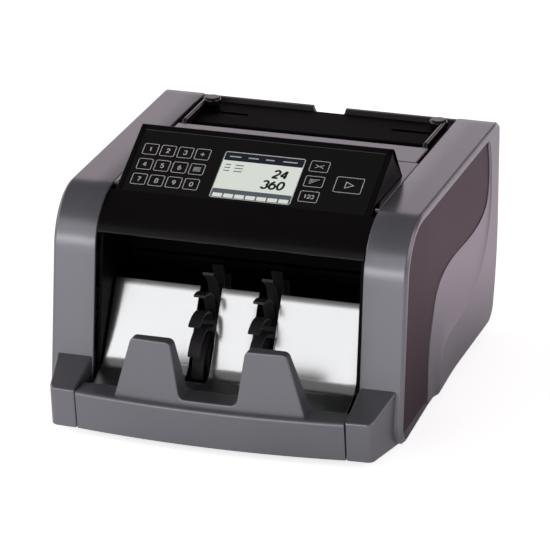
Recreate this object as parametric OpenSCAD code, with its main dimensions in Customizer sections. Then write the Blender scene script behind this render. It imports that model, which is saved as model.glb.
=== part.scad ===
// Desktop banknote counter with a rear hopper and a front stacker, built as separate parts.
// Millimetres. x runs to the right, y to the rear and z up.
// The origin lies on the table under the middle of the footprint.
// Every module is drawn in body space: y = 0 at the foot of the front bar, z = 0 under the base.

/* [Body] */
// width over the two side covers
body_w = 243; // [238:1:258]
// y of the rear face of the side covers
rear_y = 275; // [252:1:308]
// height of the side covers above the base underside
top_z = 147.3; // [147:0.1:149]
// radius of the bend from the front face to the top
bend_r = 38; // [36:1:40]
// backward lean of the front face, degrees
lean = 5.1; // [4:0.1:6]
// width of each side cover, seen from the front
band_w = 29.5; // [28:0.5:31]
// wall of the moulded covers
wall = 2.5; // [2:0.1:3]
// chamfer round the outer edge of the side covers
rim = 2; // [1.5:0.5:3]
// free height of the rubber feet
foot_h = 4; // [3:0.5:8]

/* [Side relief] */
// distance from the cover edge to the dark inlay
inlay_in = 5; // [4:0.5:7]
// depth of the inlay face below the side face, at its rear end
inlay_deep = 1.3; // [1.1:0.1:1.8]
// angle by which the inlay sinks towards the front, degrees
inlay_turn = 0.72; // [0.5:0.02:0.9]
// thickness of the inlay
inlay_t = 1.2; // [1:0.1:1.4]

/* [Control panel] */
// tilt of the panel, degrees
panel_tilt = 26.6; // [25:0.1:28]
// length of the flat panel up the slope
panel_len = 60.4; // [59:0.1:62]
// gap between the panel and each side cover
panel_gap = 4; // [3.5:0.1:5]
// thickness of the overlay that carries the keys
overlay_t = 1.6; // [1.4:0.1:2]
// travel of a key
key_travel = 0.5; // [0.3:0.1:0.6]
// width of a keypad key on the standard panel
key_w = 10.4; // [9:0.1:10.6]
// height of a keypad key
key_h = 10.2; // [9:0.1:10.6]
// display glass width on the standard panel
lcd_w = 55.9; // [54:0.1:56]
// display glass height
lcd_h = 42.9; // [40:0.1:43]

/* [Stacker] */
// height of the front bar
bar_h = 28; // [27:0.5:29]
// radius of the forward bow of the front bar and the tabs
bow_r = 620; // [560:10:800]
// height of the two stop tabs above the base underside
tab_top = 70.7; // [62:0.1:74]
// inner edge of a tab at its foot
tab_in = 19.8; // [17:0.1:22]
// outer edge of a tab at its foot
tab_out = 64.1; // [62:0.1:68]
// radius of the finned stacker wheels
wheel_r = 41; // [38:0.5:42]
// number of fins on a wheel
fins = 12; // [9:1:14]
// thickness of a fin
fin_t = 1.7; // [1.4:0.1:2]
// distance of each wheel from the middle
wheel_x = 20.5; // [18:0.5:24]

/* [Mechanism] */
// radius of the steel shafts
shaft_r = 3; // [2.5:0.1:3.2]
// radius of the feed rollers
feed_r = 16; // [15.5:0.1:16]
// radius of the pick-up rollers
pick_r = 14; // [13.5:0.1:14]
// radius of the transport rollers
drive_r = 9.85; // [9.6:0.05:9.85]
// travel of each hopper side guide
guide_travel = 32; // [20:1:32]

/* [Fits] */
// gap between neighbouring covers
seam = 0.3; // [0.2:0.05:0.4]
// radial clearance of a running shaft
run = 0.06; // [0.03:0.01:0.08]
// interference of a pressed roller
press = 0.02; // [0.01:0.01:0.03]
// clearance round a sliding key
key_gap = 0.15; // [0.1:0.05:0.25]

/* [Hidden] */
$fn = 48;
out_x = body_w/2;
in_x = out_x - band_w;
bar_front = -7.5;
bar_out = 5;
front_y = bar_front - bar_out;
mid_y = (front_y + rear_y)/2;
leaf_y = rear_y - 18;
leaf_in = inlay_deep + inlay_t + tan(inlay_turn)*(leaf_y - 40);
bend_y = 75.5;
bend_z = top_z - bend_r;
deck_z = top_z - wall;
frame_x = in_x - 1.5;
frame_t = 2;
span_x = frame_x - frame_t;
floor_t = 3;
bar_rear = 12;
panel_x = in_x - panel_gap;
panel_y = 69.5;
panel_z = 145.3;
panel_top_y = panel_y + panel_len*cos(panel_tilt);
panel_top_z = panel_z + panel_len*sin(panel_tilt);
panel_back_y = panel_top_y + (panel_top_z - top_z)*0.83;
plate_t = 4.1;
board_z = -6.5;
// the widths on the panel grow and shrink with it
wide = panel_x/88;
key_u = key_w*wide;
lcd_u = lcd_w*wide;
lcd_x = 4*wide;
lcd_v = 22.2;
key_pitch = 12.15*wide;
key_x0 = -75.1*wide;
key_rows = [38, 24, 10];
start_x = 66.3*wide;
start_v = 23.9;
start_w = 19.1*wide;
lcd_end = lcd_x + lcd_u/2;
side_x = lcd_end + (start_x - start_w/2 - lcd_end)*0.426;
side_w = 13.3*wide;
start_h = 14.4;

// y of the front edge of the hopper, which keeps its distance from the rear face
hop_y = rear_y - 103;

// axes of the rollers as [y, z]
wheel_c = [66, 56];
drive_c = [128, 82];
pinch_c = [128, 102];
feed_c = [hop_y + 36.6, 93.5];
pick_c = [hop_y + 52.3, 124.8];
stop_c = [hop_y + 14.6, 106.1];
motor_c = [150, 36];
turn_c = [hop_y + 6.7, 110.7];
turn_r = 20;
feed_xs = [-34, -14, 14, 34];
pick_xs = [-26, 26];
drive_xs = [-50, -14, 14, 50];
stop_xs = [-14, 14];

// belt planes on the left side
belt_step = 5.6;
plane_a = -frame_x - 5.1;
plane_b = plane_a - belt_step;
plane_c = plane_b - belt_step;

// rear door, inlet and fixing points
door_c = [rear_y - 4.5, 48];
rocker_c = [rear_y - 8, 21];
inlet_end = span_x - 6.5;
rocker_x = inlet_end - 14;
inlet_x = inlet_end - 42;
screw_x = span_x - 6.5;
screw_ys = [84, rear_y/2 + 23.5, rear_y - 37];
foot_x = span_x - 14.5;
foot_ys = [38, rear_y - 27];
board_x = span_x - 8.5;
post_x = span_x - 20.5;
board_y = rear_y - 97;
board_w = 62;
frame_end = rear_y - 11;

// points of an arc from angle a0 to a1 in n steps
function arc(c, r, a0, a1, n) =
  [for (i = [0:n]) let (a = a0 + (a1 - a0)*i/n) [c[0] + r*cos(a), c[1] + r*sin(a)]];

// points of a cubic curve in n steps
function curve(a, b, c, d, n) =
  [for (i = [0:n]) let (t = i/n, s = 1 - t) a*s*s*s + b*3*s*s*t + c*3*s*t*t + d*t*t*t];

// unit vector along v
function unit(v) = v/norm(v);

// a line of points made into a closed strip, t to the left of its direction
function strip(p, t) =
  let (m = len(p) - 1)
  concat(p, [for (k = [0:m]) let (i = m - k, d = unit(p[min(i + 1, m)] - p[max(i - 1, 0)]))
    p[i] + t*[-d[1], d[0]]]);

// rectangle with round corners about the origin
function round_box(w, h, r) = concat(
  arc([w/2 - r, h/2 - r], r, 0, 90, 4), arc([r - w/2, h/2 - r], r, 90, 180, 4),
  arc([r - w/2, r - h/2], r, 180, 270, 4), arc([w/2 - r, r - h/2], r, 270, 360, 4));

// y of the leaning front face at height z, moved inwards by t
function face_y(z, t) = bend_y - (bend_r - t - sin(lean)*(z - bend_z))/cos(lean);

// side outline of a cover in y and z, moved inwards by t
function outline(t) =
  let (fr = 6, rr = 12, rt = 6)
  concat(arc([bend_y, bend_z], bend_r - t, 90, 180 - lean, 16),
    arc([face_y(fr, fr), fr], fr - t, 180 - lean, 270, 6),
    arc([rear_y - rr, rr], rr - t, 270, 360, 8),
    arc([rear_y - rt, top_z - rt], rt - t, 0, 90, 6));

// loop round two pulleys a and b of radius ra and rb
function belt(a, ra, b, rb) =
  let (d = norm(b - a), h = atan2(b[1] - a[1], b[0] - a[0]), p = acos((ra - rb)/d))
  concat(arc(a, ra, h + p, h + 360 - p, 20), arc(b, rb, h - p, h + p, 20));

// moves body space to the table
module place() {
  translate([0, -mid_y, foot_h]) children();
}

// extrudes a y-z outline along x from x0 to x1
module slab(x0, x1) {
  translate([x0, 0, 0]) rotate([90, 0, 90]) linear_extrude(x1 - x0) children();
}

// round bar along x at c = [y, z]
module rod(c, r, x0, x1) {
  translate([x0, c[0], c[1]]) rotate([0, 90, 0]) cylinder(r = r, h = x1 - x0);
}

// box between two corners
module box(a, b) {
  translate(a) cube(b - a);
}

// solid through rings of [x, outline]
module loft(rings) {
  n = len(rings[0][1]);
  m = len(rings);
  polyhedron(
    points = [for (r = rings, p = r[1]) [r[0], p[0], p[1]]],
    faces = concat([[for (i = [0:n - 1]) i]],
      [for (k = [0:m - 2], i = [0:n - 1])
        [k*n + i, (k + 1)*n + i, (k + 1)*n + (i + 1)%n, k*n + (i + 1)%n]],
      [[for (i = [0:n - 1]) m*n - 1 - i]]));
}

// panel space: x across, y up the slope, z out of the panel face
module on_panel() {
  translate([0, panel_y, panel_z]) rotate([panel_tilt, 0, 0]) children();
}

// all points but the first
function tail(p) = [for (i = [1:len(p) - 1]) p[i]];

// stretches a relief curve to the rear face
function to_rear(p) = [for (q = p) [100 + (q[0] - 100)*(rear_y - 100)/175, q[1]]];

// side relief: edge of the inlay and upper edge of the hollow, from the rear top to the bottom
edge_low = to_rear(concat(curve([243.4, 143.6], [250.5, 129], [252.5, 110], [247.5, 100], 6),
  tail(curve([247.5, 100], [243, 91], [228, 86.5], [196, 86.5], 5)),
  tail(curve([196, 86.5], [170, 86.5], [148, 88.5], [134, 82.5], 4)),
  tail(curve([134, 82.5], [112, 72], [103, 45], [104.5, -8], 7))));
edge_high = to_rear(concat(curve([245, 144.4], [252.5, 134], [254.5, 118], [254, 104], 6),
  tail(curve([254, 104], [253.5, 82], [243, 57], [215, 44.2], 5)),
  tail(curve([215, 44.2], [195, 36], [168, 37], [147, 35.4], 4)),
  tail(curve([147, 35.4], [133, 34], [129, 22], [125, -8], 7))));

// depth of the inlay face below the side face at y
function sunk(y) = inlay_deep + tan(inlay_turn)*(leaf_y - y);

// outline of the dark inlay, moved inwards by t
module inlay_shape(t) {
  intersection() {
    polygon(concat(arc([bend_y, bend_z], bend_r - inlay_in - t, 90, 180 - lean, 10),
      [[face_y(rim + 1 + t, inlay_in + t), rim + 1 + t], [rear_y - 7 - t, rim + 1 + t],
       [rear_y - 7 - t, top_z - inlay_in - t]]));
    polygon(concat([for (p = edge_low) p + t*[-0.7, 0.9]], [[0, -8], [0, 200], [rear_y - 7 - t, 200]]));
  }
}

// the broad hollow that sweeps from the inlay edge up to the side face
module wave_cut() {
  n = len(edge_low);
  rows = [0, 0.4, 0.7, 1];
  m = len(rows) + 2;
  polyhedron(
    points = concat(
      [for (s = rows, i = [0:n - 1])
        let (a = edge_low[i], p = a + s*(edge_high[i] - a))
        [out_x - (1 - s*s)*(sunk(a[0]) - 0.5), p[0], p[1]]],
      [for (edge = [edge_high, edge_low], p = edge) [out_x + 1, p[0], p[1]]]),
    faces = concat(
      [for (k = [0:m - 1], i = [0:n - 2])
        [k*n + i, k*n + i + 1, ((k + 1)%m)*n + i + 1, ((k + 1)%m)*n + i]],
      [[for (k = [0:m - 1]) k*n], [for (k = [m:-1:1]) k*n - 1]]));
}

// leaf space: x out of the recess floor, turned so that the leaf sinks towards the front
module on_leaf() {
  translate([out_x - inlay_deep - inlay_t, leaf_y, 0]) rotate([0, 0, -inlay_turn])
    translate([0, -leaf_y, 0]) children();
}

// foot block at the front of a side cover, moved inwards by t
module corner_block(t) {
  intersection() {
    slab(in_x + 0.7 + t, out_x)
      polygon([[-1.2 + t, -2*t], [-5.3 + t, bar_h - t*0.6], [-4.2 + t, bar_h + 0.6 - t],
        [42, 42 - t], [42, -2*t]]);
    translate([0, 0, -10]) linear_extrude(80)
      polygon([[in_x, -10], [in_x + 15.6 - t, -10], [in_x + 15.6 - t, -0.5],
        [in_x + 16.6 - t, 0.8], [in_x + 24.6 - t, 40], [in_x, 40]]);
  }
}

// side cover on the right: hollow shell, foot block, relief and bosses
module cheek() {
  difference() {
    union() {
      difference() {
        loft([[in_x, outline(0)], [out_x - rim, outline(0)], [out_x, outline(rim)]]);
        slab(in_x - 1, out_x - leaf_in - 1.6) polygon(outline(wall));
      }
      difference() {
        corner_block(0);
        corner_block(wall);
        slab(in_x - 1, out_x) polygon(outline(wall*0.6));
      }
      for (p = [[60, 21], [rear_y - 21, 22], [rear_y - 21, 132], [96, 132]])
        rod(p, 4, frame_x, out_x - leaf_in - 0.8);
    }
    on_leaf() slab(0, 12) inlay_shape(0);
    wave_cut();
  }
}

module right_cheek() {
  color("#6d6a6e") place() cheek();
}

module left_cheek() {
  color("#6d6a6e") place() mirror([1, 0, 0]) cheek();
}

// dark leaf let into the side cover
module inlay() {
  on_leaf() slab(0, inlay_t) inlay_shape(0.25);
}

module right_inlay() {
  color("#3f3a40") place() inlay();
}

module left_inlay() {
  color("#3f3a40") place() mirror([1, 0, 0]) inlay();
}

// bottom pan with rear wall, cooling slots, board posts and screw recesses
module base_tray() {
  color("#47464a") place() difference() {
    union() {
      box([-in_x, bar_rear, 0], [in_x, rear_y - 3, floor_t]);
      box([-in_x, bar_rear, 0], [in_x, bar_rear + 3, 20]);
      for (s = [-1, 1]) translate([s*(in_x - 0.5), 0, 0])
        box([-0.5, bar_rear + 2, 0], [0.5, rear_y - 4, 14]);
      box([-span_x + 0.5, rear_y - 6, 0], [span_x - 0.5, rear_y - 3, 42]);
      for (x = [-post_x, -8, 14, post_x], y = [board_y + 6, board_y + 56])
        translate([x, y, 0]) cylinder(r = 3.5, h = 9);
    }
    for (x = [-30:10:30]) box([x - 2, 92, -1], [x + 2, 124, floor_t + 1]);
    for (s = [-1, 1], y = screw_ys) translate([s*screw_x, y, 0]) {
      translate([0, 0, -1]) cylinder(r = 3.7, h = 2.6);
      cylinder(r = 1.65, h = 20);
    }
    box([inlet_end - 58.2, rear_y - 8, 7.8], [inlet_end - 1.8, rear_y, 34.2]);
    for (i = [0:8]) translate([18.5 - span_x + 9*i, 0, 0]) box([-2, rear_y - 8, 12], [2, rear_y, 34]);
  }
}

// front view of one stop tab, with its rounded top and foot
function tab_shape() = concat(
  [[tab_in - 6, bar_h - 6], [tab_out + 3, bar_h - 6], [tab_out + 3, bar_h]],
  arc([tab_out + 3, bar_h + 3], 3, 270, 197, 4),
  arc([53.6 - 3.6, tab_top - 4], 4, 17, 90, 5), arc([25 + 4.1, tab_top - 4], 4, 90, 173, 5),
  arc([tab_in - 4.2, bar_h + 8.4], 4.6, -7, -90, 5), [[tab_in - 6, bar_h + 3.8]]);

// everything behind a front that bows forward in the middle and leans out by a degrees;
// y0 is the middle of the front at z = 0
module bowed(y0, a) {
  translate([0, y0 + bow_r/cos(a), 0]) rotate([a, 0, 0])
    cylinder(r = bow_r, h = 900, center = true, $fn = 720);
}

// bar across the front with two stop tabs and the low web between them
module front_bar() {
  bar_x = in_x + 0.7 - seam;
  color("#706d71") place() {
    difference() {
      intersection() {
        box([-bar_x, front_y - 2, 0], [bar_x, bar_rear, bar_h]);
        bowed(bar_front, atan(bar_out/bar_h));
      }
      intersection() {
        box([-bar_x + wall, front_y - 2, -1], [bar_x - wall, bar_rear - wall, bar_h - wall]);
        bowed(bar_front + wall, atan(bar_out/bar_h));
      }
    }
    intersection() {
      bowed(bar_front + 0.4, 0.6);
      slab(-bar_x, bar_x) polygon([[front_y, bar_h - 1], [front_y, tab_top + 1],
        [1.6, tab_top + 1], [2.6, tab_top - 0.6], [bar_rear, bar_h + 5], [bar_rear, bar_h - 1]]);
      translate([0, bar_rear, 0]) rotate([90, 0, 0]) linear_extrude(bar_rear - front_y) {
        polygon(tab_shape());
        mirror([1, 0]) polygon(tab_shape());
        translate([6 - tab_in, bar_h - 3]) square([2*tab_in - 12, 6.8]);
      }
    }
  }
}

// line of the front cover from the top of the panel to its lower edge
cover_line = concat([[panel_top_y, panel_top_z]],
  curve([67.7, 144.4], [55.2, 138.1], [44.8, 135.4], [40.3, 124.3], 10));

// where each key sits on the panel: x, height up the slope, width, height
function key_at(i) = i < 12
  ? [key_x0 + key_pitch*(i%4), key_rows[floor(i/4)], key_u, key_h]
  : i < 15 ? [side_x, key_rows[i - 12], side_w, key_h]
  : [start_x, start_v, start_w, start_h];

// control panel wedge and curved front cover in one moulding
module front_cover() {
  low = [for (i = [1:len(cover_line) - 1]) cover_line[i]];
  cover_x = in_x - seam;
  color("#17161a") place() difference() {
    union() {
      slab(-panel_x, panel_x) polygon(strip(cover_line, plate_t));
      slab(-cover_x, cover_x) polygon(strip(low, wall));
      slab(-cover_x, cover_x) polygon([[40.3, 124.3], [40.9, 126.6], [47, 127.1], [47, 124.8]]);
      slab(-panel_x, panel_x) polygon([[panel_back_y, top_z], [panel_top_y, panel_top_z],
        [panel_top_y - 1.5, panel_top_z - 2.2], [panel_back_y - 3.3, top_z]]);
      for (s = [-1, 1]) {
        translate([s*(panel_x - wall/2), 0, 0]) slab(-wall/2, wall/2)
          polygon([[73.5, top_z], [panel_top_y, panel_top_z], [panel_back_y, top_z]]);
        translate([s*(span_x - 1.25), 0, 0]) slab(-1.25, 1.25)
          polygon([[41.5, 124.4], [45.5, 133], [58, 138], [64, 130], [64, 118], [46, 118]]);
      }
      on_panel() for (x = [6 - panel_x, panel_x - 10], v = [6, 46])
        translate([x, v, board_z]) cylinder(r = 2.5, h = 3.5);
    }
    on_panel() {
      translate([4 - panel_x, -1.6, -overlay_t]) cube([2*panel_x - 8, 57.6, 6]);
      translate([lcd_x - lcd_u/2 - 1, lcd_v - lcd_h/2 - 1, -9]) cube([lcd_u + 2, lcd_h + 2, 9]);
      for (i = [0:15]) let (k = key_at(i)) translate([k[0], k[1], 0]) {
        translate([0, 0, -overlay_t - 0.9 - key_travel])
          linear_extrude(4) polygon(round_box(k[2] + 1, k[3] + 1, 1.6));
        translate([0, 0, -9]) cylinder(r = 1.8 + run, h = 8);
      }
    }
  }
}

// gloss sheet with the openings for the display and the keys
module panel_overlay() {
  color("#0e0d10") place() on_panel() translate([0, 0, -overlay_t]) difference() {
    translate([4.15 - panel_x, -1.45, 0]) cube([2*panel_x - 8.3, 57.3, overlay_t]);
    translate([lcd_x, lcd_v, -1])
      linear_extrude(5) polygon(round_box(lcd_u + 0.3, lcd_h + 0.3, 2));
    for (i = [0:15]) let (k = key_at(i)) translate([k[0], k[1], -1])
      linear_extrude(5) polygon(round_box(k[2] + 2*key_gap, k[3] + 2*key_gap, 1.4));
  }
}

// a key: cap flush with the overlay, flange that holds it in, stem down to its switch
module key(i) {
  k = key_at(i);
  color("#121115") place() on_panel() translate([k[0], k[1], 0]) {
    translate([0, 0, -overlay_t]) linear_extrude(overlay_t) polygon(round_box(k[2], k[3], 1.3));
    translate([0, 0, -overlay_t - 0.7]) linear_extrude(0.7 - 0.05)
      polygon(round_box(k[2] + 0.6, k[3] + 0.6, 1.4));
    translate([0, 0, -overlay_t - 0.1]) linear_extrude(0.2) polygon(round_box(k[2] - 1, k[3] - 1, 1));
    translate([0, 0, -5]) cylinder(r = 1.8, h = 3);
  }
}

// liquid crystal module: glass in the overlay window on a deeper housing
module display_module() {
  color("#c9d3cc") place() on_panel() translate([lcd_x, lcd_v, 0]) {
    translate([-lcd_u/2 - 0.75, -lcd_h/2 - 0.75, board_z])
      cube([lcd_u + 1.5, lcd_h + 1.5, -board_z - 1.8]);
    translate([0, 0, -2]) linear_extrude(1.7) polygon(round_box(lcd_u, lcd_h, 1.8));
  }
}

// board behind the panel with one switch under each key
module display_board() {
  color("#2c6a45") place() on_panel() {
    translate([4.5 - panel_x, 0.2, board_z - 1.6]) cube([2*panel_x - 10, 50, 1.6]);
    for (i = [0:15]) let (k = key_at(i))
      translate([k[0] - 3, k[1] - 3, board_z - 0.5]) cube([6, 6, 1.4]);
    translate([18 - panel_x, 14, board_z - 4.6]) cube([30, 8, 3.2]);
    translate([40, 30, board_z - 3.6]) cube([12, 12, 2.2]);
  }
}

// grey deck behind the panel, with arms along both sides of it
module top_deck() {
  deck_x = in_x - seam;
  color("#6d6a6e") place() difference() {
    box([-deck_x, 76, deck_z], [deck_x, hop_y - 0.4, top_z]);
    box([4 - panel_x, 70, deck_z - 1], [panel_x - 4, panel_y + 34.5, top_z + 1]);
    box([-panel_x - 0.4, 70, deck_z - 1], [panel_x + 0.4, 84.5, top_z + 1]);
  }
}

// front lip of the hopper with the sloping wall that bounds the stack
module hopper_lip() {
  color("#6d6a6e") place() translate([0, hop_y, 0]) {
    slab(-span_x - 0.8, span_x + 0.8) polygon([[0, deck_z], [0, top_z - 0.5], [0.5, top_z],
      [31.6, top_z], [33, top_z - 0.8], [31.5, deck_z]]);
    slab(-span_x + 6, span_x - 6) polygon([[31.6, top_z - 0.4], [33, top_z - 0.8],
      [18.8, 122.4], [16.4, 123.6], [28.6, deck_z + 0.2]]);
  }
}

// hopper tray and lower sheet guide: shelf, feed slope and turn to the front in one sheet
module hopper_tray() {
  slope = [0.5, 0.866];
  foot = turn_c + turn_r*[0.866, -0.5];
  top = foot + slope*((139.7 - foot[1])/0.866);
  line = concat([[100, turn_c[1] - turn_r]], arc(turn_c, turn_r, -90, -30, 8),
    arc([top[0] + 5.2, top[1] - 3], 6, 150, 92, 5), [[rear_y - 9, 143.4]]);
  color("#1b1a1d") place() difference() {
    slab(-span_x, span_x) polygon(strip(line, -wall));
    for (x = feed_xs) rod(feed_c, feed_r + 1, x - 6, x + 6);
    for (x = pick_xs) rod(pick_c, pick_r + 1, x - 7, x + 7);
    for (x = drive_xs) rod(drive_c, drive_r + 1, x - 7, x + 7);
    for (s = [0, 1]) mirror([s, 0, 0])
      box([span_x - 4.8 - guide_travel, hop_y + 71, 130], [span_x - 0.2, hop_y + 75, 150]);
  }
}

// side guide in the hopper: wall beside the stack, finger grip, tongue and keeper under the tray
module guide() {
  x0 = span_x - 4;
  translate([0, hop_y, 0]) {
    slab(x0, x0 + 3) polygon([[22.6, 127], [34.6, 147.6], [36.4, 149], [84, 149], [90, 147.6],
      [90, 144.1], [50.6, 143.4], [47.4, 141.5], [38.6, 127]]);
    translate([x0 - 2.5, 85, 144.1]) linear_extrude(6.4) polygon(round_box(11, 13, 3.5));
    box([x0, 71.2, 139.5], [x0 + 3, 74.8, 145]);
    box([x0 - 1, 69, 138.4], [x0 + 3.6, 77, 140.2]);
  }
}

module right_guide() {
  color("#1d1c20") place() guide();
}

module left_guide() {
  color("#1d1c20") place() mirror([1, 0, 0]) guide();
}

// bent steel plate of the stacker: sloping floor, bend and inclined back with wheel slots
module stacker_plate() {
  lo = 19;
  hi = 60.6;
  bend = 16;
  c = [36.7, 32.5] - bend*tan((hi - lo)/2)*[cos(lo), sin(lo)] + bend*[-sin(lo), cos(lo)];
  line = concat([[13, 32.5 - 23.7*tan(lo)]], arc(c, bend, lo - 90, hi - 90, 8),
    [[36.7 + 51.5/tan(hi), 84]]);
  color("#c8cacc") place() difference() {
    union() {
      slab(-span_x + 1, span_x - 1) polygon(strip(line, -1.2));
      intersection() {
        slab(-span_x, span_x) polygon(strip(line, -1.2));
        box([-100, 0, 72], [100, 100, 82]);
      }
    }
    for (s = [-1, 1]) rod(wheel_c, wheel_r + 4, s*wheel_x - 7.5, s*wheel_x + 7.5);
  }
}

// dark wall behind the stacker wheels
module inner_wall() {
  low = floor_t + 2.2;
  color("#1b1a1d") place() slab(-span_x, span_x) polygon([[101, 88], [110.5, 70], [110.5, 40],
    [104, low], [106.2, low], [112.7, 40], [112.7, 70.5], [103.4, 88]]);
}

// upper sheet guide with the dark wall under the panel
module upper_guide() {
  color("#1b1a1d") place() slab(-span_x, span_x) polygon([[97, 94], [116.5, 94], [116.5, 96.5],
    [99.5, 96.5], [99.5, 137], [97, 137]]);
}

// rear door with vents, finger notch and hinge stubs
module rear_door() {
  color("#47464a") place() difference() {
    union() {
      box([-in_x + 0.6, rear_y - 6, 54], [in_x - 0.6, rear_y - 3, 146]);
      box([-span_x + 0.6, rear_y - 6, 48], [span_x - 0.6, rear_y - 3, 56]);
      rod(door_c, 2.6, -span_x + 0.6, span_x - 0.6);
      rod(door_c, 2.2, -frame_x, frame_x);
      for (x = [-60, 0, 60]) box([x - 1.2, rear_y - 8, 60], [x + 1.2, rear_y - 5, 140]);
    }
    for (x = [-54:9:-6], s = [-1, 1]) box([s*x - 2, rear_y - 7, 72], [s*x + 2, rear_y, 112]);
    translate([0, rear_y - 2, 148]) rotate([90, 0, 0]) cylinder(r = 12, h = 10);
  }
}

// steel side frame on the right with its foot flange and bearing seats
module frame() {
  difference() {
    union() {
      slab(span_x, frame_x) polygon(concat([[face_y(floor_t, 4), floor_t]],
        [for (p = arc([bend_y, bend_z], bend_r - 6, 180 - lean, 95, 10)) p],
        [[bend_y, deck_z], [frame_end, deck_z], [frame_end, 54], [rear_y - 1.5, 53],
         [rear_y - 1.5, 43.2], [frame_end, 43.2], [frame_end, floor_t]]));
      box([span_x - 14, 70, floor_t], [span_x + 1, frame_end - 12, floor_t + 2]);
    }
    for (c = [wheel_c, drive_c, pinch_c, feed_c, pick_c]) rod(c, 6.55, span_x - 2, frame_x + 2);
    rod(door_c, 2.2 + run, span_x - 2, frame_x + 2);
    rod(motor_c, 6, span_x - 2, frame_x + 2);
    for (y = screw_ys) translate([screw_x, y, 0]) cylinder(r = 1.55, h = 20);
    for (y = [100, board_y + 14]) rod([y, 40], 9, span_x - 2, frame_x + 2);
  }
}

module right_frame() {
  color("#29282b") place() frame();
}

module left_frame() {
  color("#29282b") place() mirror([1, 0, 0]) frame();
}

// flanged bush in each bearing seat
module bearings() {
  seats = [wheel_c, drive_c, pinch_c, feed_c, pick_c];
  color("#b8a26a") place() for (s = [-1, 1], c = seats) difference() {
    union() {
      translate([s*(frame_x - 1), 0, 0]) rod(c, 6.5, -1, 1);
      translate([s*(frame_x + 0.6), 0, 0]) rod(c, 8, -0.6, 0.6);
    }
    translate([s*frame_x, 0, 0]) rod(c, shaft_r + run, -5, 5);
  }
}

module stacker_shaft() {
  color("#c4c6c8") place() rod(wheel_c, shaft_r, plane_c - 4, frame_x + 3);
}

// wheel with fins that sweep back from the hub
module stacker_wheels() {
  hub = 9;
  tip = wheel_r*[cos(40), sin(40)];
  color("#26252a") place() for (s = [-1, 1]) difference() {
    union() {
      translate([s*wheel_x, wheel_c[0], wheel_c[1]]) rotate([90, 0, 90]) translate([0, 0, -4])
        linear_extrude(8) for (i = [0:fins - 1]) rotate(360*i/fins)
          polygon(strip(curve([hub - 2, 0], [20, 1], [33, 9], tip, 7), fin_t));
      translate([s*wheel_x, 0, 0]) rod(wheel_c, hub, -6, 6);
    }
    translate([s*wheel_x, 0, 0]) rod(wheel_c, shaft_r - press, -9, 9);
  }
}

// flanged pulley of radius r about plane x, without its bore
module pulley(c, r, x) {
  rod(c, r, x - 2.7, x + 2.7);
  rod(c, r + 1.8, x - 2.7, x - 2);
  rod(c, r + 1.8, x + 2, x + 2.7);
}

module stacker_pulley() {
  color("#d8d5cb") place() difference() {
    pulley(wheel_c, 16, plane_c);
    rod(wheel_c, shaft_r - press, plane_c - 9, plane_c + 9);
  }
}

module feed_shaft() {
  color("#c4c6c8") place() rod(feed_c, shaft_r, plane_b - 5, frame_x + 3);
}

module feed_rollers() {
  color("#3a3436") place() for (x = feed_xs) difference() {
    rod(feed_c, feed_r, x - 5, x + 5);
    rod(feed_c, shaft_r - press, x - 9, x + 9);
  }
}

module feed_pulley() {
  color("#d8d5cb") place() difference() {
    union() {
      pulley(feed_c, 15, plane_b);
      pulley(feed_c, 8, plane_a);
      rod(feed_c, 5, plane_b, plane_a);
    }
    rod(feed_c, shaft_r - press, plane_b - 9, plane_a + 9);
  }
}

// moulded shaft with its own pulley
module pickup_shaft() {
  color("#d8d5cb") place() {
    rod(pick_c, shaft_r, plane_a - 4, frame_x + 3);
    pulley(pick_c, 7, plane_a);
  }
}

module pickup_rollers() {
  color("#3a3436") place() for (x = pick_xs) difference() {
    rod(pick_c, pick_r, x - 6, x + 6);
    rod(pick_c, shaft_r - press, x - 9, x + 9);
  }
}

module drive_shaft() {
  color("#c4c6c8") place() rod(drive_c, shaft_r, plane_c - 4.5, frame_x + 3);
}

module drive_rollers() {
  color("#3a3436") place() for (x = drive_xs) difference() {
    rod(drive_c, drive_r, x - 6, x + 6);
    rod(drive_c, shaft_r - press, x - 9, x + 9);
  }
}

// stepped pulley for three belts
module drive_pulley() {
  color("#d8d5cb") place() difference() {
    union() {
      pulley(drive_c, 12, plane_a);
      pulley(drive_c, 6, plane_b);
      pulley(drive_c, 5.2, plane_c);
      rod(drive_c, 5, plane_c, plane_a);
    }
    rod(drive_c, shaft_r - press, plane_c - 9, plane_a + 9);
  }
}

// idle rollers moulded on one shaft above the drive rollers
module pinch_rollers() {
  color("#8d8b88") place() {
    rod(pinch_c, shaft_r, -frame_x - 2, frame_x + 2);
    for (x = drive_xs) rod(pinch_c, drive_r, x - 5, x + 5);
  }
}

// fixed separator rollers moulded on one bar between the frames
module separator_rollers() {
  color("#6b2f2a") place() {
    rod(stop_c, shaft_r, -span_x, span_x);
    for (x = stop_xs) rod(stop_c, 9, x - 5, x + 5);
  }
}

// motor can on the left frame
module motor() {
  color("#8f9194") place() difference() {
    union() {
      rod(motor_c, 17, -span_x, -32);
      rod(motor_c, 5.6, -span_x - 1.5, -span_x + 1);
      rod(motor_c, 6, -33, -28);
    }
    rod(motor_c, 2.5 + run, -span_x - 3, -span_x + 14);
  }
}

module motor_pulley() {
  color("#d8d5cb") place() {
    rod(motor_c, 2.5, plane_a - 4, -span_x + 13);
    pulley(motor_c, 6, plane_a);
  }
}

// flat belt 0.3 clear of the pulleys it runs on
module belt_loop(a, ra, b, rb, x) {
  slab(x - 1.7, x + 1.7) difference() {
    polygon(belt(a, ra + 1.5, b, rb + 1.5));
    polygon(belt(a, ra + 0.3, b, rb + 0.3));
  }
}

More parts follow.
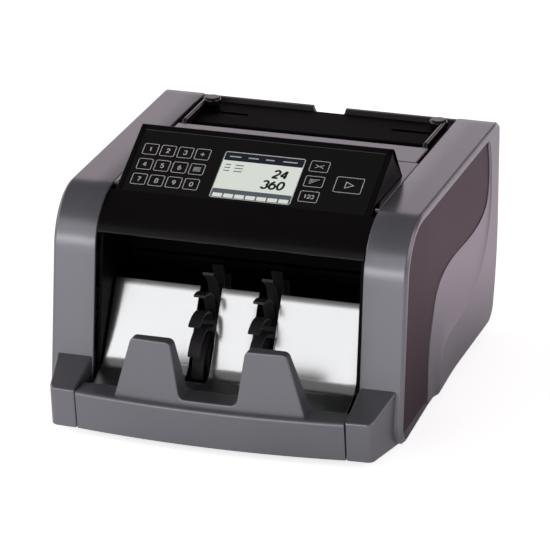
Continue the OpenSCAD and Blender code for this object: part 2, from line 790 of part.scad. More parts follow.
module drive_belts() {
  color("#1a1a1c") place() {
    belt_loop(motor_c, 6, drive_c, 12, plane_a);
    belt_loop(drive_c, 6, feed_c, 15, plane_b);
    belt_loop(drive_c, 5.2, wheel_c, 16, plane_c);
    belt_loop(feed_c, 8, pick_c, 7, plane_a);
  }
}

// control board on four posts of the base
module main_board() {
  color("#2c6a45") place() translate([0, board_y, 0]) {
    box([-board_x, 0, 9], [-2, board_w, 10.6]);
    box([-56, 20, 10.4], [-34, 42, 13]);
    box([-22, 12, 10.4], [-10, 24, 12.6]);
    for (i = [0:2]) box([1 - board_x, 6 + 14*i, 10.4], [10 - board_x, 17 + 14*i, 19]);
    box([-50, board_w - 9, 10.4], [-14, board_w - 1, 20]);
    for (x = [-28, -18]) translate([x, 40, 10.4]) cylinder(r = 4, h = 12);
  }
}

// supply board with transformer, capacitor and heat sink
module power_supply() {
  color("#3b5f3a") place() translate([0, board_y, 0]) {
    box([8, 0, 9], [board_x, board_w, 10.6]);
    box([20, 8, 10.4], [50, 34, 36]);
    translate([64, 20, 10.4]) cylinder(r = 9, h = 26);
    box([18, 44, 10.4], [60, 47, 34]);
    for (x = [20:8:58]) box([x, 46, 12], [x + 1.6, 52, 34]);
  }
}

// mains inlet and switch bezel in one flanged module
module power_inlet() {
  y = rear_y - 3;
  color("#19191b") place() {
    difference() {
      union() {
        box([inlet_end - 60, y, 6], [inlet_end, y + 2, 36]);
        box([inlet_end - 58, y - 22, 8], [inlet_end - 2, y + 1, 34]);
      }
      translate([inlet_x, y + 3, 21]) rotate([90, 0, 0]) linear_extrude(19)
        polygon([[-12, -8.3], [12, -8.3], [12, 4.6], [8.3, 8.3], [-8.3, 8.3], [-12, 4.6]]);
      box([rocker_x - 7.3, y - 14, 10.4], [rocker_x + 7.3, y + 3, 31.6]);
      rod(rocker_c, 1.5 + run, rocker_x - 9, rocker_x + 9);
    }
    for (p = [[-7, -2], [7, -2], [0, 3]])
      box([inlet_x + p[0] - 1, y - 17, 21 + p[1] - 2], [inlet_x + p[0] + 1, y - 1.5, 21 + p[1] + 2]);
  }
}

// rocker of the mains switch, shown switched off
module power_switch() {
  color("#232326") place() {
    translate([rocker_x, rocker_c[0], rocker_c[1]]) rotate([-10, 0, 0]) slab(-6.9, 6.9)
      polygon([[5.4, -9.3], [4.6, 0], [5.4, 9.3], [0, 9.3], [-6, 4], [-6, -4], [0, -9.3]]);
    rod(rocker_c, 1.5, rocker_x - 8.6, rocker_x + 8.6);
  }
}

// rubber feet
module feet() {
  color("#232223") for (x = [-foot_x, foot_x], y = foot_ys) translate([x, y - mid_y, 0])
    cylinder(r1 = 7.5, r2 = 8.5, h = foot_h);
}

// pan-head screws that hold the frames to the base
module screws() {
  color("#b9bbbd") place() for (s = [-1, 1], y = screw_ys) translate([s*screw_x, y, 0]) {
    difference() {
      cylinder(r = 3.3, h = 1.6);
      translate([-2, -0.4, -1]) cube([4, 0.8, 1.7]);
      translate([-0.4, -2, -1]) cube([0.8, 4, 1.7]);
    }
    translate([0, 0, 1]) cylinder(r = 1.5, h = 6.5);
  }
}

left_cheek();
right_cheek();
left_inlay();
right_inlay();
base_tray();
front_bar();
front_cover();
panel_overlay();
display_module();
display_board();
top_deck();
hopper_lip();
hopper_tray();
left_guide();
right_guide();
stacker_plate();
rear_door();
left_frame();
right_frame();
bearings();
stacker_shaft();
stacker_wheels();
stacker_pulley();
feed_shaft();
feed_rollers();
feed_pulley();
pickup_shaft();
pickup_rollers();
drive_shaft();
drive_rollers();
drive_pulley();
pinch_rollers();
separator_rollers();
inner_wall();
upper_guide();
motor();
motor_pulley();
drive_belts();
main_board();
power_supply();
power_inlet();
power_switch();
feet();
screws();
key(0);  // key_1
key(1);  // key_2
key(2);  // key_3
key(3);  // key_add
key(4);  // key_4
key(5);  // key_5
key(6);  // key_6
key(7);  // key_batch
key(8);  // key_7
key(9);  // key_8
key(10);  // key_9
key(11);  // key_0
key(12);  // key_mix
key(13);  // key_sort
key(14);  // key_count
key(15);  // key_start
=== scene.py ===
# %% [markdown]
# # A banknote counter
# Two satin grey side covers hold a black control panel, a hopper at the rear and a bright
# steel stacker pocket at the front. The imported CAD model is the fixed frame: it says where
# every piece sits and which body it moves with. The surfaces that show are worked out here as
# numpy arrays, and the works inside keep their CAD solids under new finishes.

import bmesh
import bpy
import numpy as np
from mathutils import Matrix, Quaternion, Vector


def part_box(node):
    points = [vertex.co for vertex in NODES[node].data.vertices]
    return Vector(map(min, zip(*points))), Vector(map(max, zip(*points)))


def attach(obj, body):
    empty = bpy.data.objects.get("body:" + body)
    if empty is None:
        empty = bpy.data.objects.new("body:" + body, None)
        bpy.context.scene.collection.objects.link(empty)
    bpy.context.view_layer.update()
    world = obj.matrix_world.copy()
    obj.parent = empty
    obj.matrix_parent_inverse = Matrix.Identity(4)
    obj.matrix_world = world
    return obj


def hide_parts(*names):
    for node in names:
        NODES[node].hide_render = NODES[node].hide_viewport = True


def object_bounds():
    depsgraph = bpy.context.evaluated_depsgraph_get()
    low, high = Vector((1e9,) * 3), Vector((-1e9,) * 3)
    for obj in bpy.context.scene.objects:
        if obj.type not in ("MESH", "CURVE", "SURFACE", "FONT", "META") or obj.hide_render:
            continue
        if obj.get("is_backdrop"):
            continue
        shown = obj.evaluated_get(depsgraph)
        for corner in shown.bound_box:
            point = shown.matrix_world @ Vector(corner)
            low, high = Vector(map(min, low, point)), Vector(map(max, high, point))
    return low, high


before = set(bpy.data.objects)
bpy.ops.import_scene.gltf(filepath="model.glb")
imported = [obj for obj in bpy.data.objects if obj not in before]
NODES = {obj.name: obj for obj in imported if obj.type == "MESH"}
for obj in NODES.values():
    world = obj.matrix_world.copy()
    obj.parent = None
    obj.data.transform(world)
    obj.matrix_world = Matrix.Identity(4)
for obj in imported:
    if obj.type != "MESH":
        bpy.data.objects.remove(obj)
CAD_LOW, CAD_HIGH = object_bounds()
print("CAD box, mm:", [round((b - a) * 1000, 1) for a, b in zip(CAD_LOW, CAD_HIGH)])

# %% [markdown]
# ## The machine's own measures
# All shapes below are written in millimetres from the foot of the front bar and the underside
# of the base, as one would measure the real machine on a bench. One shift then brings them to
# the table frame, so no piece has to be pushed into place by eye.

# %% Driving sizes
FRONT, REAR = -12.5, 275.0  # foremost line of the bar, rear face
TOP = 147.3  # top face
FOOT_H = 4.0  # height of the rubber feet
OUT_X = CAD_HIGH.x * 1000  # outer face of a side cover
BAND = 29.5  # width of a side cover's band
IN_X = OUT_X - BAND  # inner face of a side cover
RIM = 2.0  # chamfer round the side
WALL = 2.5  # wall of the mouldings
LEAN = np.radians(5.1)  # lean of the front face
BEND, BEND_R = np.array([75.5, 109.3]), 38.0  # centre and radius of the front bend
BODY_TO_TABLE = np.array([0.0, -(FRONT + REAR) / 2, FOOT_H])
print("half width", OUT_X, "inner face", IN_X, "shift to the table", BODY_TO_TABLE)

# %% [markdown]
# ## Outlines
# Most of the machine's mouldings can be drawn as an outline in a plane. On a real part no corner is
# sharp, because the mould's cutter is round, so an outline is written here as corners with a radius
# each. Curve objects could be drawn by hand instead, but numbers are easier to check and to change.

# %% Outlines


def unit(v):
    """Vectors divided by their own length."""
    return v / np.linalg.norm(v, axis=-1, keepdims=True)


def arc(centre, radius, start, end, steps):
    """Centre plus radius times (cos, sin) of angles, in degrees, spread evenly from start to end."""
    a = np.radians(np.linspace(start, end, steps + 1))
    return np.array(centre, float) + radius * np.stack([np.cos(a), np.sin(a)], axis=1)


def rounded(corners, steps=4, lead=0.35):
    """Outline through corners (u, v, radius): each corner is an arc that touches both edges, written
    as a rational quadratic whose middle weight is the sine of half the corner angle."""
    c = np.array(corners, float)
    p, r = c[:, :2], c[:, 2]
    back = unit(np.roll(p, 1, axis=0) - p)
    fore = unit(np.roll(p, -1, axis=0) - p)
    half = np.arccos(np.clip(np.sum(back * fore, axis=1), -1, 1)) / 2
    reach = r / np.tan(half)
    free = np.linalg.norm(np.roll(p, -1, axis=0) - p, axis=1) - reach - np.roll(reach, -1)
    after = np.minimum(lead, 0.3 * free)[:, None, None]
    before = np.roll(after, 1, axis=0)
    s = np.linspace(0, 1, steps + 1)[None, :, None]
    a = (p + back * reach[:, None])[:, None]
    b = (p + fore * reach[:, None])[:, None]
    w = np.sin(half)[:, None, None]
    bow = (a * (1 - s) ** 2 + 2 * w * p[:, None] * s * (1 - s) + b * s**2) / (
        (1 - s) ** 2 + 2 * w * s * (1 - s) + s**2
    )
    line = np.concatenate([a + before * back[:, None], bow, b + after * fore[:, None]], axis=1)
    return line.reshape(-1, 2)


sample = rounded([(0, 0, 2), (20, 0, 2), (20, 10, 2), (0, 10, 2)])
print("a rectangle with round corners has", len(sample), "points")

# %% [markdown]
# ## Moving an outline inwards
# To round the edge of a plate, its outline has to shrink a little at each step. Scaling it would move
# far points more than near ones. So every point moves along its mitre, the line that halves the corner,
# and all sides shift by the same distance. For that the outline has to run in a known direction.

# %% Direction and mitre


def counter_clockwise(outline):
    """The outline, turned round if its signed area is negative."""
    u, v = outline[:, 0], outline[:, 1]
    area = np.sum(u * np.roll(v, -1) - v * np.roll(u, -1))
    return outline if area > 0 else outline[::-1]


def mitre(outline):
    """Outward step at each point: the two edge normals added and divided by one plus their product."""
    edge = unit(np.roll(outline, -1, axis=0) - outline)
    n = np.stack([edge[:, 1], -edge[:, 0]], axis=1)
    before = np.roll(n, 1, axis=0)
    return (n + before) / (1 + np.sum(n * before, axis=1, keepdims=True))


print("its longest mitre is", round(np.linalg.norm(mitre(sample), axis=1).max(), 3))

# %% [markdown]
# ## Grids and eased edges
# A surface with two parameters is a grid of points, and its faces are the cells between them. Blender
# has a grid of its own, but it is flat and would have to be bent afterwards. Here the cells are numbered
# once, for every grid, open or closed into a ring. The eased edge is a quarter round.

# %% Grid helpers


def net(rows, cols, round_rows=False, round_cols=False):
    """Quads of a grid stored row after row; a round grid joins its last line to its first."""
    r = np.arange(rows if round_rows else rows - 1)[:, None]
    c = np.arange(cols if round_cols else cols - 1)[None, :]
    r2, c2 = (r + 1) % rows, (c + 1) % cols
    quads = [r * cols + c, r * cols + c2, r2 * cols + c2, r2 * cols + c]
    return np.stack(quads, axis=-1).reshape(-1, 4).tolist()


def ease(soft, steps=3, lead=0.3):
    """Quarter-round edge as inset soft(1 - sin a) and run soft(1 - cos a), with a flat lead at each end."""
    a = np.linspace(0, np.pi / 2, steps + 1)
    inset = np.concatenate([[soft + lead], soft * (1 - np.sin(a)), [0]])
    run = np.concatenate([[0], soft * (1 - np.cos(a)), [soft + lead]])
    return inset, run


def stand(flat, along, axis):
    """Points with flat = (u, v) across and along on the named axis."""
    x, y, z = {"x": (along, flat[..., 0], flat[..., 1]), "y": (flat[..., 0], along, flat[..., 1]),
               "z": (flat[..., 0], flat[..., 1], along)}[axis]
    return np.stack(np.broadcast_arrays(x, y, z), axis=-1)


print("a ring of 3 by 8 points has", len(net(3, 8, round_cols=True)), "cells")

# %% [markdown]
# ## Profiles carried along an axis
# Nearly every moulded piece is a profile carried along a path, with its edges eased as an
# injection mould leaves them. A small rounding catches the light as a thin line, which is what
# makes a plain box look like a real moulding. A Bevel modifier could round the edges too, but it
# can't ease an end that leans. So the helper that carries a profile also rounds both of its ends,
# and adds a narrow flat ring that keeps the large faces flat in the shading.

# %% Carried profiles


def bar(outline, low, high, axis, soft=0.5, steps=3, lead=0.3, middle=0):
    """Outline carried from low to high along an axis, with both end edges eased by soft and as many rings
    as asked between them. Low and high may be functions of the outline's points, so that an end can lean."""
    outline = counter_clockwise(np.asarray(outline, float))
    inset, run = ease(soft, steps, lead)
    k, n = len(inset), len(outline)
    steps_in = np.concatenate([inset, np.zeros(middle), inset[::-1]])
    rings = outline[None] - steps_in[:, None, None] * mitre(outline)[None]
    start, stop = (f(r) if callable(f) else np.full(r.shape[:-1], float(f))
                   for f, r in ((low, rings[:k]), (high, rings[-k:])))
    start, stop = start + run[:, None], stop - run[::-1][:, None]
    s = np.linspace(0, 1, middle + 2)[1:-1, None]
    along = np.concatenate([start, start[-1] * (1 - s) + stop[0] * s, stop])
    points = stand(rings, along, axis).reshape(-1, 3)
    ends = [list(range(n)), list(range(len(points) - n, len(points)))]
    return points, net(2 * k + middle, n, round_cols=True) + ends


def join(*parts):
    """Several shapes as one: points one after another, with the face numbers moved on."""
    starts = np.cumsum([0] + [len(p) for p, f in parts])
    faces = [[i + s for i in q] for (p, f), s in zip(parts, starts.tolist()) for q in f]
    return np.concatenate([p for p, f in parts]), faces


def mirrored(part):
    """The same shape on the other side, x turned to minus x."""
    return part[0] * [-1, 1, 1], part[1]


print("the same rectangle as a bar has", len(bar(sample, 0, 30, "z")[1]), "faces")

# %% [markdown]
# ## A piece and its place in the frame
# Each piece says which body it rides on, which material it gets and which CAD solids it stands
# for, so that it follows its body's empty and hides the solid behind it. All of that is the same for
# every piece, so one helper builds the mesh, shades it and parents it to its body's empty.

# %% Dressing a piece
SHARP = np.radians(35)  # edges that turn by more stay sharp
CLOSE = 2e-6  # points nearer than this, in metres, are one


def dress(name, part, material, replaces=(), body="chassis", merge=True):
    """A mesh object from a shape in body millimetres: doubles merged, faces turned outwards, smooth
    shading with the sharp edges kept, its material set, the CAD solids it stands for hidden, and parented to
    its body's empty."""
    points, faces = part
    mesh = bpy.data.meshes.new(name)
    mesh.from_pydata(((points + BODY_TO_TABLE) / 1000).tolist(), [], faces)
    if merge:
        shape = bmesh.new()
        shape.from_mesh(mesh)
        bmesh.ops.remove_doubles(shape, verts=shape.verts, dist=CLOSE)
        bmesh.ops.recalc_face_normals(shape, faces=shape.faces)
        shape.to_mesh(mesh)
        shape.free()
    mesh.shade_smooth()
    mesh.set_sharp_from_angle(angle=SHARP)
    mesh.materials.append(material)
    piece = bpy.data.objects.new(name, mesh)
    bpy.context.scene.collection.objects.link(piece)
    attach(piece, body)
    if replaces:
        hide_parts(*replaces)
    print(name, len(mesh.polygons), "faces")
    return piece


# %% [markdown]
# ## Helpers for nodes
# A material is a small net of nodes, which could be wired by hand in the Shader Editor. In a script the
# same few moves come back: make a group with named sockets, fill a socket, add a noise, bring a value
# to a range. Each is a short function, so that the finishes below read as recipes.

# %% Node helpers


def new_group(name, inputs, outputs):
    """A shader node group with float inputs, given with their defaults, and float outputs."""
    group = bpy.data.node_groups.new(name, "ShaderNodeTree")
    for key, value in inputs.items():
        group.interface.new_socket(key, in_out="INPUT", socket_type="NodeSocketFloat").default_value = value
    for key in outputs:
        group.interface.new_socket(key, in_out="OUTPUT", socket_type="NodeSocketFloat")
    return group, group.nodes.new("NodeGroupInput"), group.nodes.new("NodeGroupOutput")


def feed(tree, socket, value):
    """A socket filled from another socket, or with a plain value."""
    if isinstance(value, bpy.types.NodeSocket):
        tree.links.new(value, socket)
    else:
        socket.default_value = value


def noise(tree, vector, scale, detail):
    """A noise on a vector."""
    node = tree.nodes.new("ShaderNodeTexNoise")
    for key, value in (("Vector", vector), ("Scale", scale), ("Detail", detail)):
        feed(tree, node.inputs[key], value)
    return node.outputs["Fac"]


def span(tree, value, low, high):
    """A 0 to 1 value brought to low to high."""
    node = tree.nodes.new("ShaderNodeMapRange")
    for key, end in (("Value", value), ("To Min", low), ("To Max", high)):
        feed(tree, node.inputs[key], end)
    return node.outputs["Result"]


print("helpers:", ", ".join(f.__name__ for f in (new_group, feed, noise, span)))

# %% [markdown]
# ## Finishes
# The covers look like moulded satin plastic: a fine grain, a faint cloudiness in the tone
# and a roughness that wanders a little. One node group gives all three from two noises
# on Object coordinates, so every moulding shares it with its own values. A second group draws
# the long fine lines of brushed steel by stretching a noise across the machine.

# %% Shared node groups


def moulded_grain_group():
    """Cloud = slow noise, Grain = fine noise, Roughness = slow noise between two given values."""
    tree, enter, leave = new_group(
        "moulded grain", {"Grain Scale": 900, "Rough Low": 0.4, "Rough High": 0.5},
        ["Cloud", "Grain", "Roughness"])
    place = tree.nodes.new("ShaderNodeTexCoord").outputs["Object"]
    cloud = noise(tree, place, 14.0, 2.0)
    grain = noise(tree, place, enter.outputs["Grain Scale"], 1.0)
    tree.links.new(cloud, leave.inputs["Cloud"])
    tree.links.new(grain, leave.inputs["Grain"])
    rough = span(tree, cloud, enter.outputs["Rough Low"], enter.outputs["Rough High"])
    tree.links.new(rough, leave.inputs["Roughness"])
    return tree


def brushed_group():
    """Lines = noise squeezed along x, so that it runs as fine lines from side to side."""
    tree, enter, leave = new_group("brushed lines", {"Line Scale": 60}, ["Lines"])
    place = tree.nodes.new("ShaderNodeTexCoord").outputs["Object"]
    squeeze = tree.nodes.new("ShaderNodeMapping")
    squeeze.inputs["Scale"].default_value = (0.4, 60.0, 60.0)
    tree.links.new(place, squeeze.inputs["Vector"])
    lines = noise(tree, squeeze.outputs["Vector"], enter.outputs["Line Scale"], 3.0)
    tree.links.new(lines, leave.inputs["Lines"])
    return tree


MOULDED_GRAIN = moulded_grain_group()
BRUSHED_LINES = brushed_group()
print("node groups:", len(MOULDED_GRAIN.nodes), "and", len(BRUSHED_LINES.nodes), "nodes")

# %% [markdown]
# ## Colours as they are seen
# A finish is named by the colour that one sees on a screen, but Blender reckons with light, where half
# the number isn't half the brightness. One helper brings the first to the second. Others start a
# material, mix two colours and turn a height into a bump, as every finish needs.

# %% Colour, mix and bump


def paint(*rgb):
    """A colour as seen on screen, 0 to 255, brought to Blender's linear scale."""
    c = np.array(rgb) / 255
    linear = np.where(c <= 0.04045, c / 12.92, ((c + 0.055) / 1.055) ** 2.4)
    return (*linear.tolist(), 1.0)


def start_material(name):
    """An empty node material: its tree and its Principled shader."""
    material = bpy.data.materials.new(name)
    material.use_nodes = True
    return material, material.node_tree, material.node_tree.nodes["Principled BSDF"]


def blend(tree, mask, first, second):
    """The colour between two ends, each a colour or a socket, by a mask."""
    mix = tree.nodes.new("ShaderNodeMix")
    mix.data_type = "RGBA"
    for socket, value in zip((mix.inputs["Factor"], mix.inputs[6], mix.inputs[7]), (mask, first, second)):
        feed(tree, socket, value)
    return mix.outputs[2]


def bump(tree, height, strength, distance, shader):
    """Height fed to the shader's normal through a bump node."""
    node = tree.nodes.new("ShaderNodeBump")
    node.inputs["Strength"].default_value = strength
    node.inputs["Distance"].default_value = distance
    tree.links.new(height, node.inputs["Height"])
    tree.links.new(node.outputs["Normal"], shader.inputs["Normal"])


print("grey 128 of 255 is", round(paint(128, 128, 128)[0], 3), "of full light")

# %% [markdown]
# ## From groups to materials
# A plastic and a steel are each one function: it puts a shared group into a new material and feeds
# tone, roughness and a fine bump from it. Single flat colours would be quicker, but a surface whose
# tone and gloss never change looks like a drawing, not like a moulding.

# %% Plastic and steel


def moulded(name, dark, light, rough=(0.4, 0.5), grain=900, relief=0.06, metal=0.0, coat=0.0, shine=0.5):
    """Satin moulding: the grain group mixes two close tones, sets roughness and feeds a fine bump."""
    material, tree, shader = start_material(name)
    group = tree.nodes.new("ShaderNodeGroup")
    group.node_tree = MOULDED_GRAIN
    group.inputs["Grain Scale"].default_value = grain
    group.inputs["Rough Low"].default_value, group.inputs["Rough High"].default_value = rough
    tone = blend(tree, group.outputs["Cloud"], paint(*dark), paint(*light))
    tree.links.new(tone, shader.inputs["Base Color"])
    tree.links.new(group.outputs["Roughness"], shader.inputs["Roughness"])
    bump(tree, group.outputs["Grain"], relief, 0.0002, shader)
    shader.inputs["Metallic"].default_value = metal
    shader.inputs["Specular IOR Level"].default_value = shine
    shader.inputs["Coat Weight"].default_value = coat
    shader.inputs["Coat Roughness"].default_value = 0.12
    return material


def brushed(name, dark, light, rough, lines=60):
    """Drawn steel: fine lines vary tone and roughness and ripple the surface a little."""
    material, tree, shader = start_material(name)
    group = tree.nodes.new("ShaderNodeGroup")
    group.node_tree = BRUSHED_LINES
    group.inputs["Line Scale"].default_value = lines
    tone = blend(tree, group.outputs["Lines"], paint(*dark), paint(*light))
    tree.links.new(tone, shader.inputs["Base Color"])
    tree.links.new(span(tree, group.outputs["Lines"], rough[0], rough[1]), shader.inputs["Roughness"])
    bump(tree, group.outputs["Lines"], 0.04, 0.0002, shader)
    shader.inputs["Metallic"].default_value = 1.0
    return material


print("made from", MOULDED_GRAIN.name, "and", BRUSHED_LINES.name)

# %% [markdown]
# ## The list of finishes
# Each finish names two close tones, as seen on screen, between which the slow noise wanders, and the
# range of its roughness. The greys have the soft sheen of plastic with a metal flake, so they are
# made partly metallic. One list keeps all tones together, where they are easy to compare.

# %% List of finishes
COVER_GREY = moulded("satin cover grey", (125, 125, 131), (133, 133, 139), (0.27, 0.33), metal=0.6)
BAR_GREY = moulded("satin bar grey", (123, 124, 130), (131, 132, 138), (0.34, 0.40), metal=0.6)
INLAY_PLUM = moulded("dark plum leaf", (54, 36, 45), (62, 43, 52), (0.42, 0.50), metal=0.45, shine=0.12)
PANEL_BLACK = moulded("black panel moulding", (13, 10, 11), (17, 14, 15), (0.26, 0.34), relief=0.03,
                      shine=0.15)
OVERLAY_BLACK = moulded("gloss overlay", (12, 9, 11), (15, 12, 14), (0.10, 0.14), relief=0.004)
KEY_BLACK = moulded("key film", (13, 10, 12), (17, 14, 16), (0.16, 0.22), relief=0.01)
INNER_BLACK = moulded("inner black", (8, 7, 7), (11, 10, 10), (0.55, 0.65), shine=0.03)
FRAME_BLACK = moulded("coated frame steel", (11, 9, 9), (15, 13, 12), (0.45, 0.55), relief=0.08, shine=0.04)
GUIDE_BLACK = moulded("gloss guide black", (22, 17, 19), (29, 24, 26), (0.2, 0.28), relief=0.02)
BASE_GREY = moulded("base grey", (66, 65, 68), (74, 72, 75), (0.45, 0.55))
PLATE_STEEL = brushed("drawn stacker plate", (242, 243, 245), (251, 251, 252), (0.20, 0.25))
SHAFT_STEEL = brushed("ground shaft", (170, 172, 174), (205, 207, 209), (0.2, 0.34), lines=30)
RUBBER = moulded("roller rubber", (46, 42, 43), (58, 53, 54), (0.6, 0.75), grain=2200, relief=0.2)
WHEEL_BLACK = moulded("wheel rubber", (34, 32, 35), (43, 41, 44), (0.42, 0.55), grain=1600)
PULLEY_WHITE = moulded("acetal pulley", (214, 211, 200), (226, 223, 213), (0.35, 0.45))
PINCH_GREY = moulded("idle roller grey", (140, 138, 134), (152, 150, 146), (0.4, 0.5))
SEPARATOR_RED = moulded("separator rubber", (104, 46, 40), (122, 56, 49), (0.6, 0.7), grain=2200)
BUSH_BRONZE = moulded("sintered bronze", (170, 140, 84), (190, 160, 100), (0.35, 0.5), metal=1.0)
MOTOR_CAN = moulded("plated motor can", (150, 152, 154), (176, 178, 180), (0.3, 0.42), metal=1.0)
BOARD_GREEN = moulded("circuit board", (24, 60, 44), (32, 72, 54), (0.3, 0.45), coat=0.3)
INLET_BLACK = moulded("inlet nylon", (22, 22, 24), (30, 30, 32), (0.4, 0.5))
FOOT_RUBBER = moulded("foot rubber", (28, 27, 28), (38, 37, 38), (0.65, 0.8), grain=2000, relief=0.2)
SCREW_STEEL = moulded("zinc screw", (176, 178, 180), (196, 198, 200), (0.25, 0.4), metal=1.0)
print(len(bpy.data.materials), "materials")

# %% [markdown]
# ## The side covers
# Each cover is a broad band that runs up the front, over a full bend and back along the top, with
# a sunken side: a dark leaf lies in a recess, and from the leaf's lower edge a hollow sweeps out to
# the side face. It could be cut with booleans, but then the sweep would not be smooth. Here the
# side is one grid: every row starts on the front or top edge, drops into the recess, climbs the
# wall at the leaf's edge and follows the hollow out to the rear or lower edge. All rows meet in
# one pole at the rear top corner. The band is a second grid that starts on the same edge points.

# %% Outline of a cover


def ramp(start, end, count):
    """Even steps from start, left out, to end, kept."""
    return np.linspace(start, end, count + 1)[1:]


def stations(*stops):
    """Circle centres, radii and angles round the cover: (y, z, radius, degrees, steps) to each stop in
    turn, so that a straight edge is the common tangent of two circles."""
    rows = [np.array([stops[0][:4]], float)]
    for before, stop in zip(stops, stops[1:]):
        s = ramp(0, 1, stop[4])[:, None]
        rows.append(np.array(before[:4], float) * (1 - s) + np.array(stop[:4], float) * s)
    return np.concatenate(rows)


def edge_at(rows, inset):
    """Points of the cover's outline, moved inwards: centre plus (radius - inset) times (cos, sin)."""
    a = np.radians(rows[:, 3])
    return rows[:, :2] + (rows[:, 2] - inset)[:, None] * np.stack([np.cos(a), np.sin(a)], axis=1)


def face_y(z, inset):
    """The leaning front face's y at a height, moved inwards."""
    return BEND[0] - (BEND_R - inset - np.sin(LEAN) * (z - BEND[1])) / np.cos(LEAN)


print("the front face leans back", round(face_y(TOP, 0) - face_y(0, 0), 1), "mm over its height")

# %% [markdown]
# ## Rows of the side grid
# The rows start along the top, round the bend, down the face and round the toe, and each row's other end
# lies on the rear or lower edge. They could start at even distances, but the bend and the corners need
# closer rows. Both lists have to be of one length, so the counts are named once and used for both.

# %% Rows of the side
FRONT_DEG = 180 - np.degrees(LEAN)
CORNER_R, REAR_LOW_R = 6.0, 12.0  # rounding of the rear corners, top and low
TOE_R, LEAF_TOE_R = 11.0, 9.0  # rounding at the foot of the front face, of cover and leaf
TOE = (face_y(TOE_R, TOE_R), TOE_R)
REAR_TOP = (REAR - CORNER_R, TOP - CORNER_R)
REAR_LOW = (REAR - REAR_LOW_R, REAR_LOW_R)
LEAF_IN = 5.0  # from the cover's edge to the leaf's recess
TIP_ROWS, TOP_ROWS, BEND_ROWS, FACE_ROWS, TOE_ROWS = 6, 30, 16, 20, 5
FALL_ROWS = BEND_ROWS + FACE_ROWS + TOE_ROWS
over = stations(
    (*REAR_TOP, CORNER_R, 45, 0), (*REAR_TOP, CORNER_R, 90, 2),
    (244, TOP - CORNER_R, CORNER_R, 90, TIP_ROWS - 2),
    (*BEND, BEND_R, 90, TOP_ROWS), (*BEND, BEND_R, FRONT_DEG, BEND_ROWS),
    (*TOE, TOE_R, FRONT_DEG, FACE_ROWS), (*TOE, TOE_R, 270, TOE_ROWS))
under = stations(
    (*REAR_TOP, CORNER_R, 45, 0), (*REAR_TOP, CORNER_R, 0, 2),
    (REAR - CORNER_R, 118, CORNER_R, 0, TIP_ROWS - 2),
    (*REAR_LOW, REAR_LOW_R, 0, 10), (*REAR_LOW, REAR_LOW_R, -90, 8),
    *((y, CORNER_R, CORNER_R, -90, n) for y, n in ((228, 4), (200, 8), (150, FALL_ROWS))))
print(len(over), "rows across each side")

# %% [markdown]
# ## The leaf's edge and the hollow
# Two lines make the wave of the side: the foot of the leaf and the crest where the hollow runs out.
# Each is a chain of four cubic curves that was fitted to the real one. Both are cut into as many
# steps as the outline, so that a row of the grid can join an outline point to its partners.

# %% Lines of the relief
FOOT_CURVES = [((243.4, 143.6), (250.5, 129), (252.5, 110), (247.5, 100)),
               ((247.5, 100), (243, 91), (228, 86.5), (196, 86.5)),
               ((196, 86.5), (170, 86.5), (148, 88.5), (134, 82.5)),
               ((134, 82.5), (112, 72), (103, 45), (104.5, -8))]
CREST_CURVES = [((245, 144.4), (252.5, 134), (254.5, 118), (254, 104)),
                ((254, 104), (253.5, 82), (243, 57), (215, 44.2)),
                ((215, 44.2), (195, 36), (168, 37), (147, 35.4)),
                ((147, 35.4), (133, 34), (129, 22), (125, -8))]


def cubic(a, b, c, d, s):
    """Cubic Bezier curve: the four points weighted by 1, 3, 3, 1 and the powers of s and 1 - s."""
    a, b, c, d = (np.array(p, float) for p in (a, b, c, d))
    s = np.asarray(s, float)[:, None]
    return a * (1 - s) ** 3 + 3 * b * s * (1 - s) ** 2 + 3 * c * s**2 * (1 - s) + d * s**3


def part_of(curve, high, low, steps):
    """The part of a falling curve between two heights, as even steps of the curve's own parameter."""
    s = np.linspace(0, 1, 400)
    start, stop = np.interp([-high, -low], -cubic(*curve, s)[:, 1], s)
    return cubic(*curve, np.linspace(start, stop, steps + 1))


def sweep(curves, top):
    """A relief line from the rear top corner: straight to its tip, along the four curves, down to the rim."""
    first = part_of(curves[0], top, curves[0][3][1], TOP_ROWS // 3)
    corner = edge_at(over[:1], RIM)[0]
    rows = [corner + (first[0] - corner) * np.linspace(0, 1, TIP_ROWS + 1)[:, None], first[1:]]
    rows += [cubic(*c, ramp(0, 1, TOP_ROWS // 3)) for c in curves[1:3]]
    rows.append(part_of(curves[3], curves[3][0][1], RIM, FALL_ROWS)[1:])
    return np.concatenate(rows)


foot, crest = sweep(FOOT_CURVES, TOP - LEAF_IN), sweep(CREST_CURVES, TOP - LEAF_IN - 0.4)
print("leaf foot rows", len(foot), "hollow edge rows", len(crest))

# %% [markdown]
# ## The leaf's border and the depths
# Above and in front, the leaf follows the cover's own outline at a small distance. Its face lies in a
# plane that sinks a little towards the front, and below the hollow the side draws in towards the base.
# The depths could be sculpted, but a plane and a square of the way down say them in two lines.

# %% Leaf border and depths


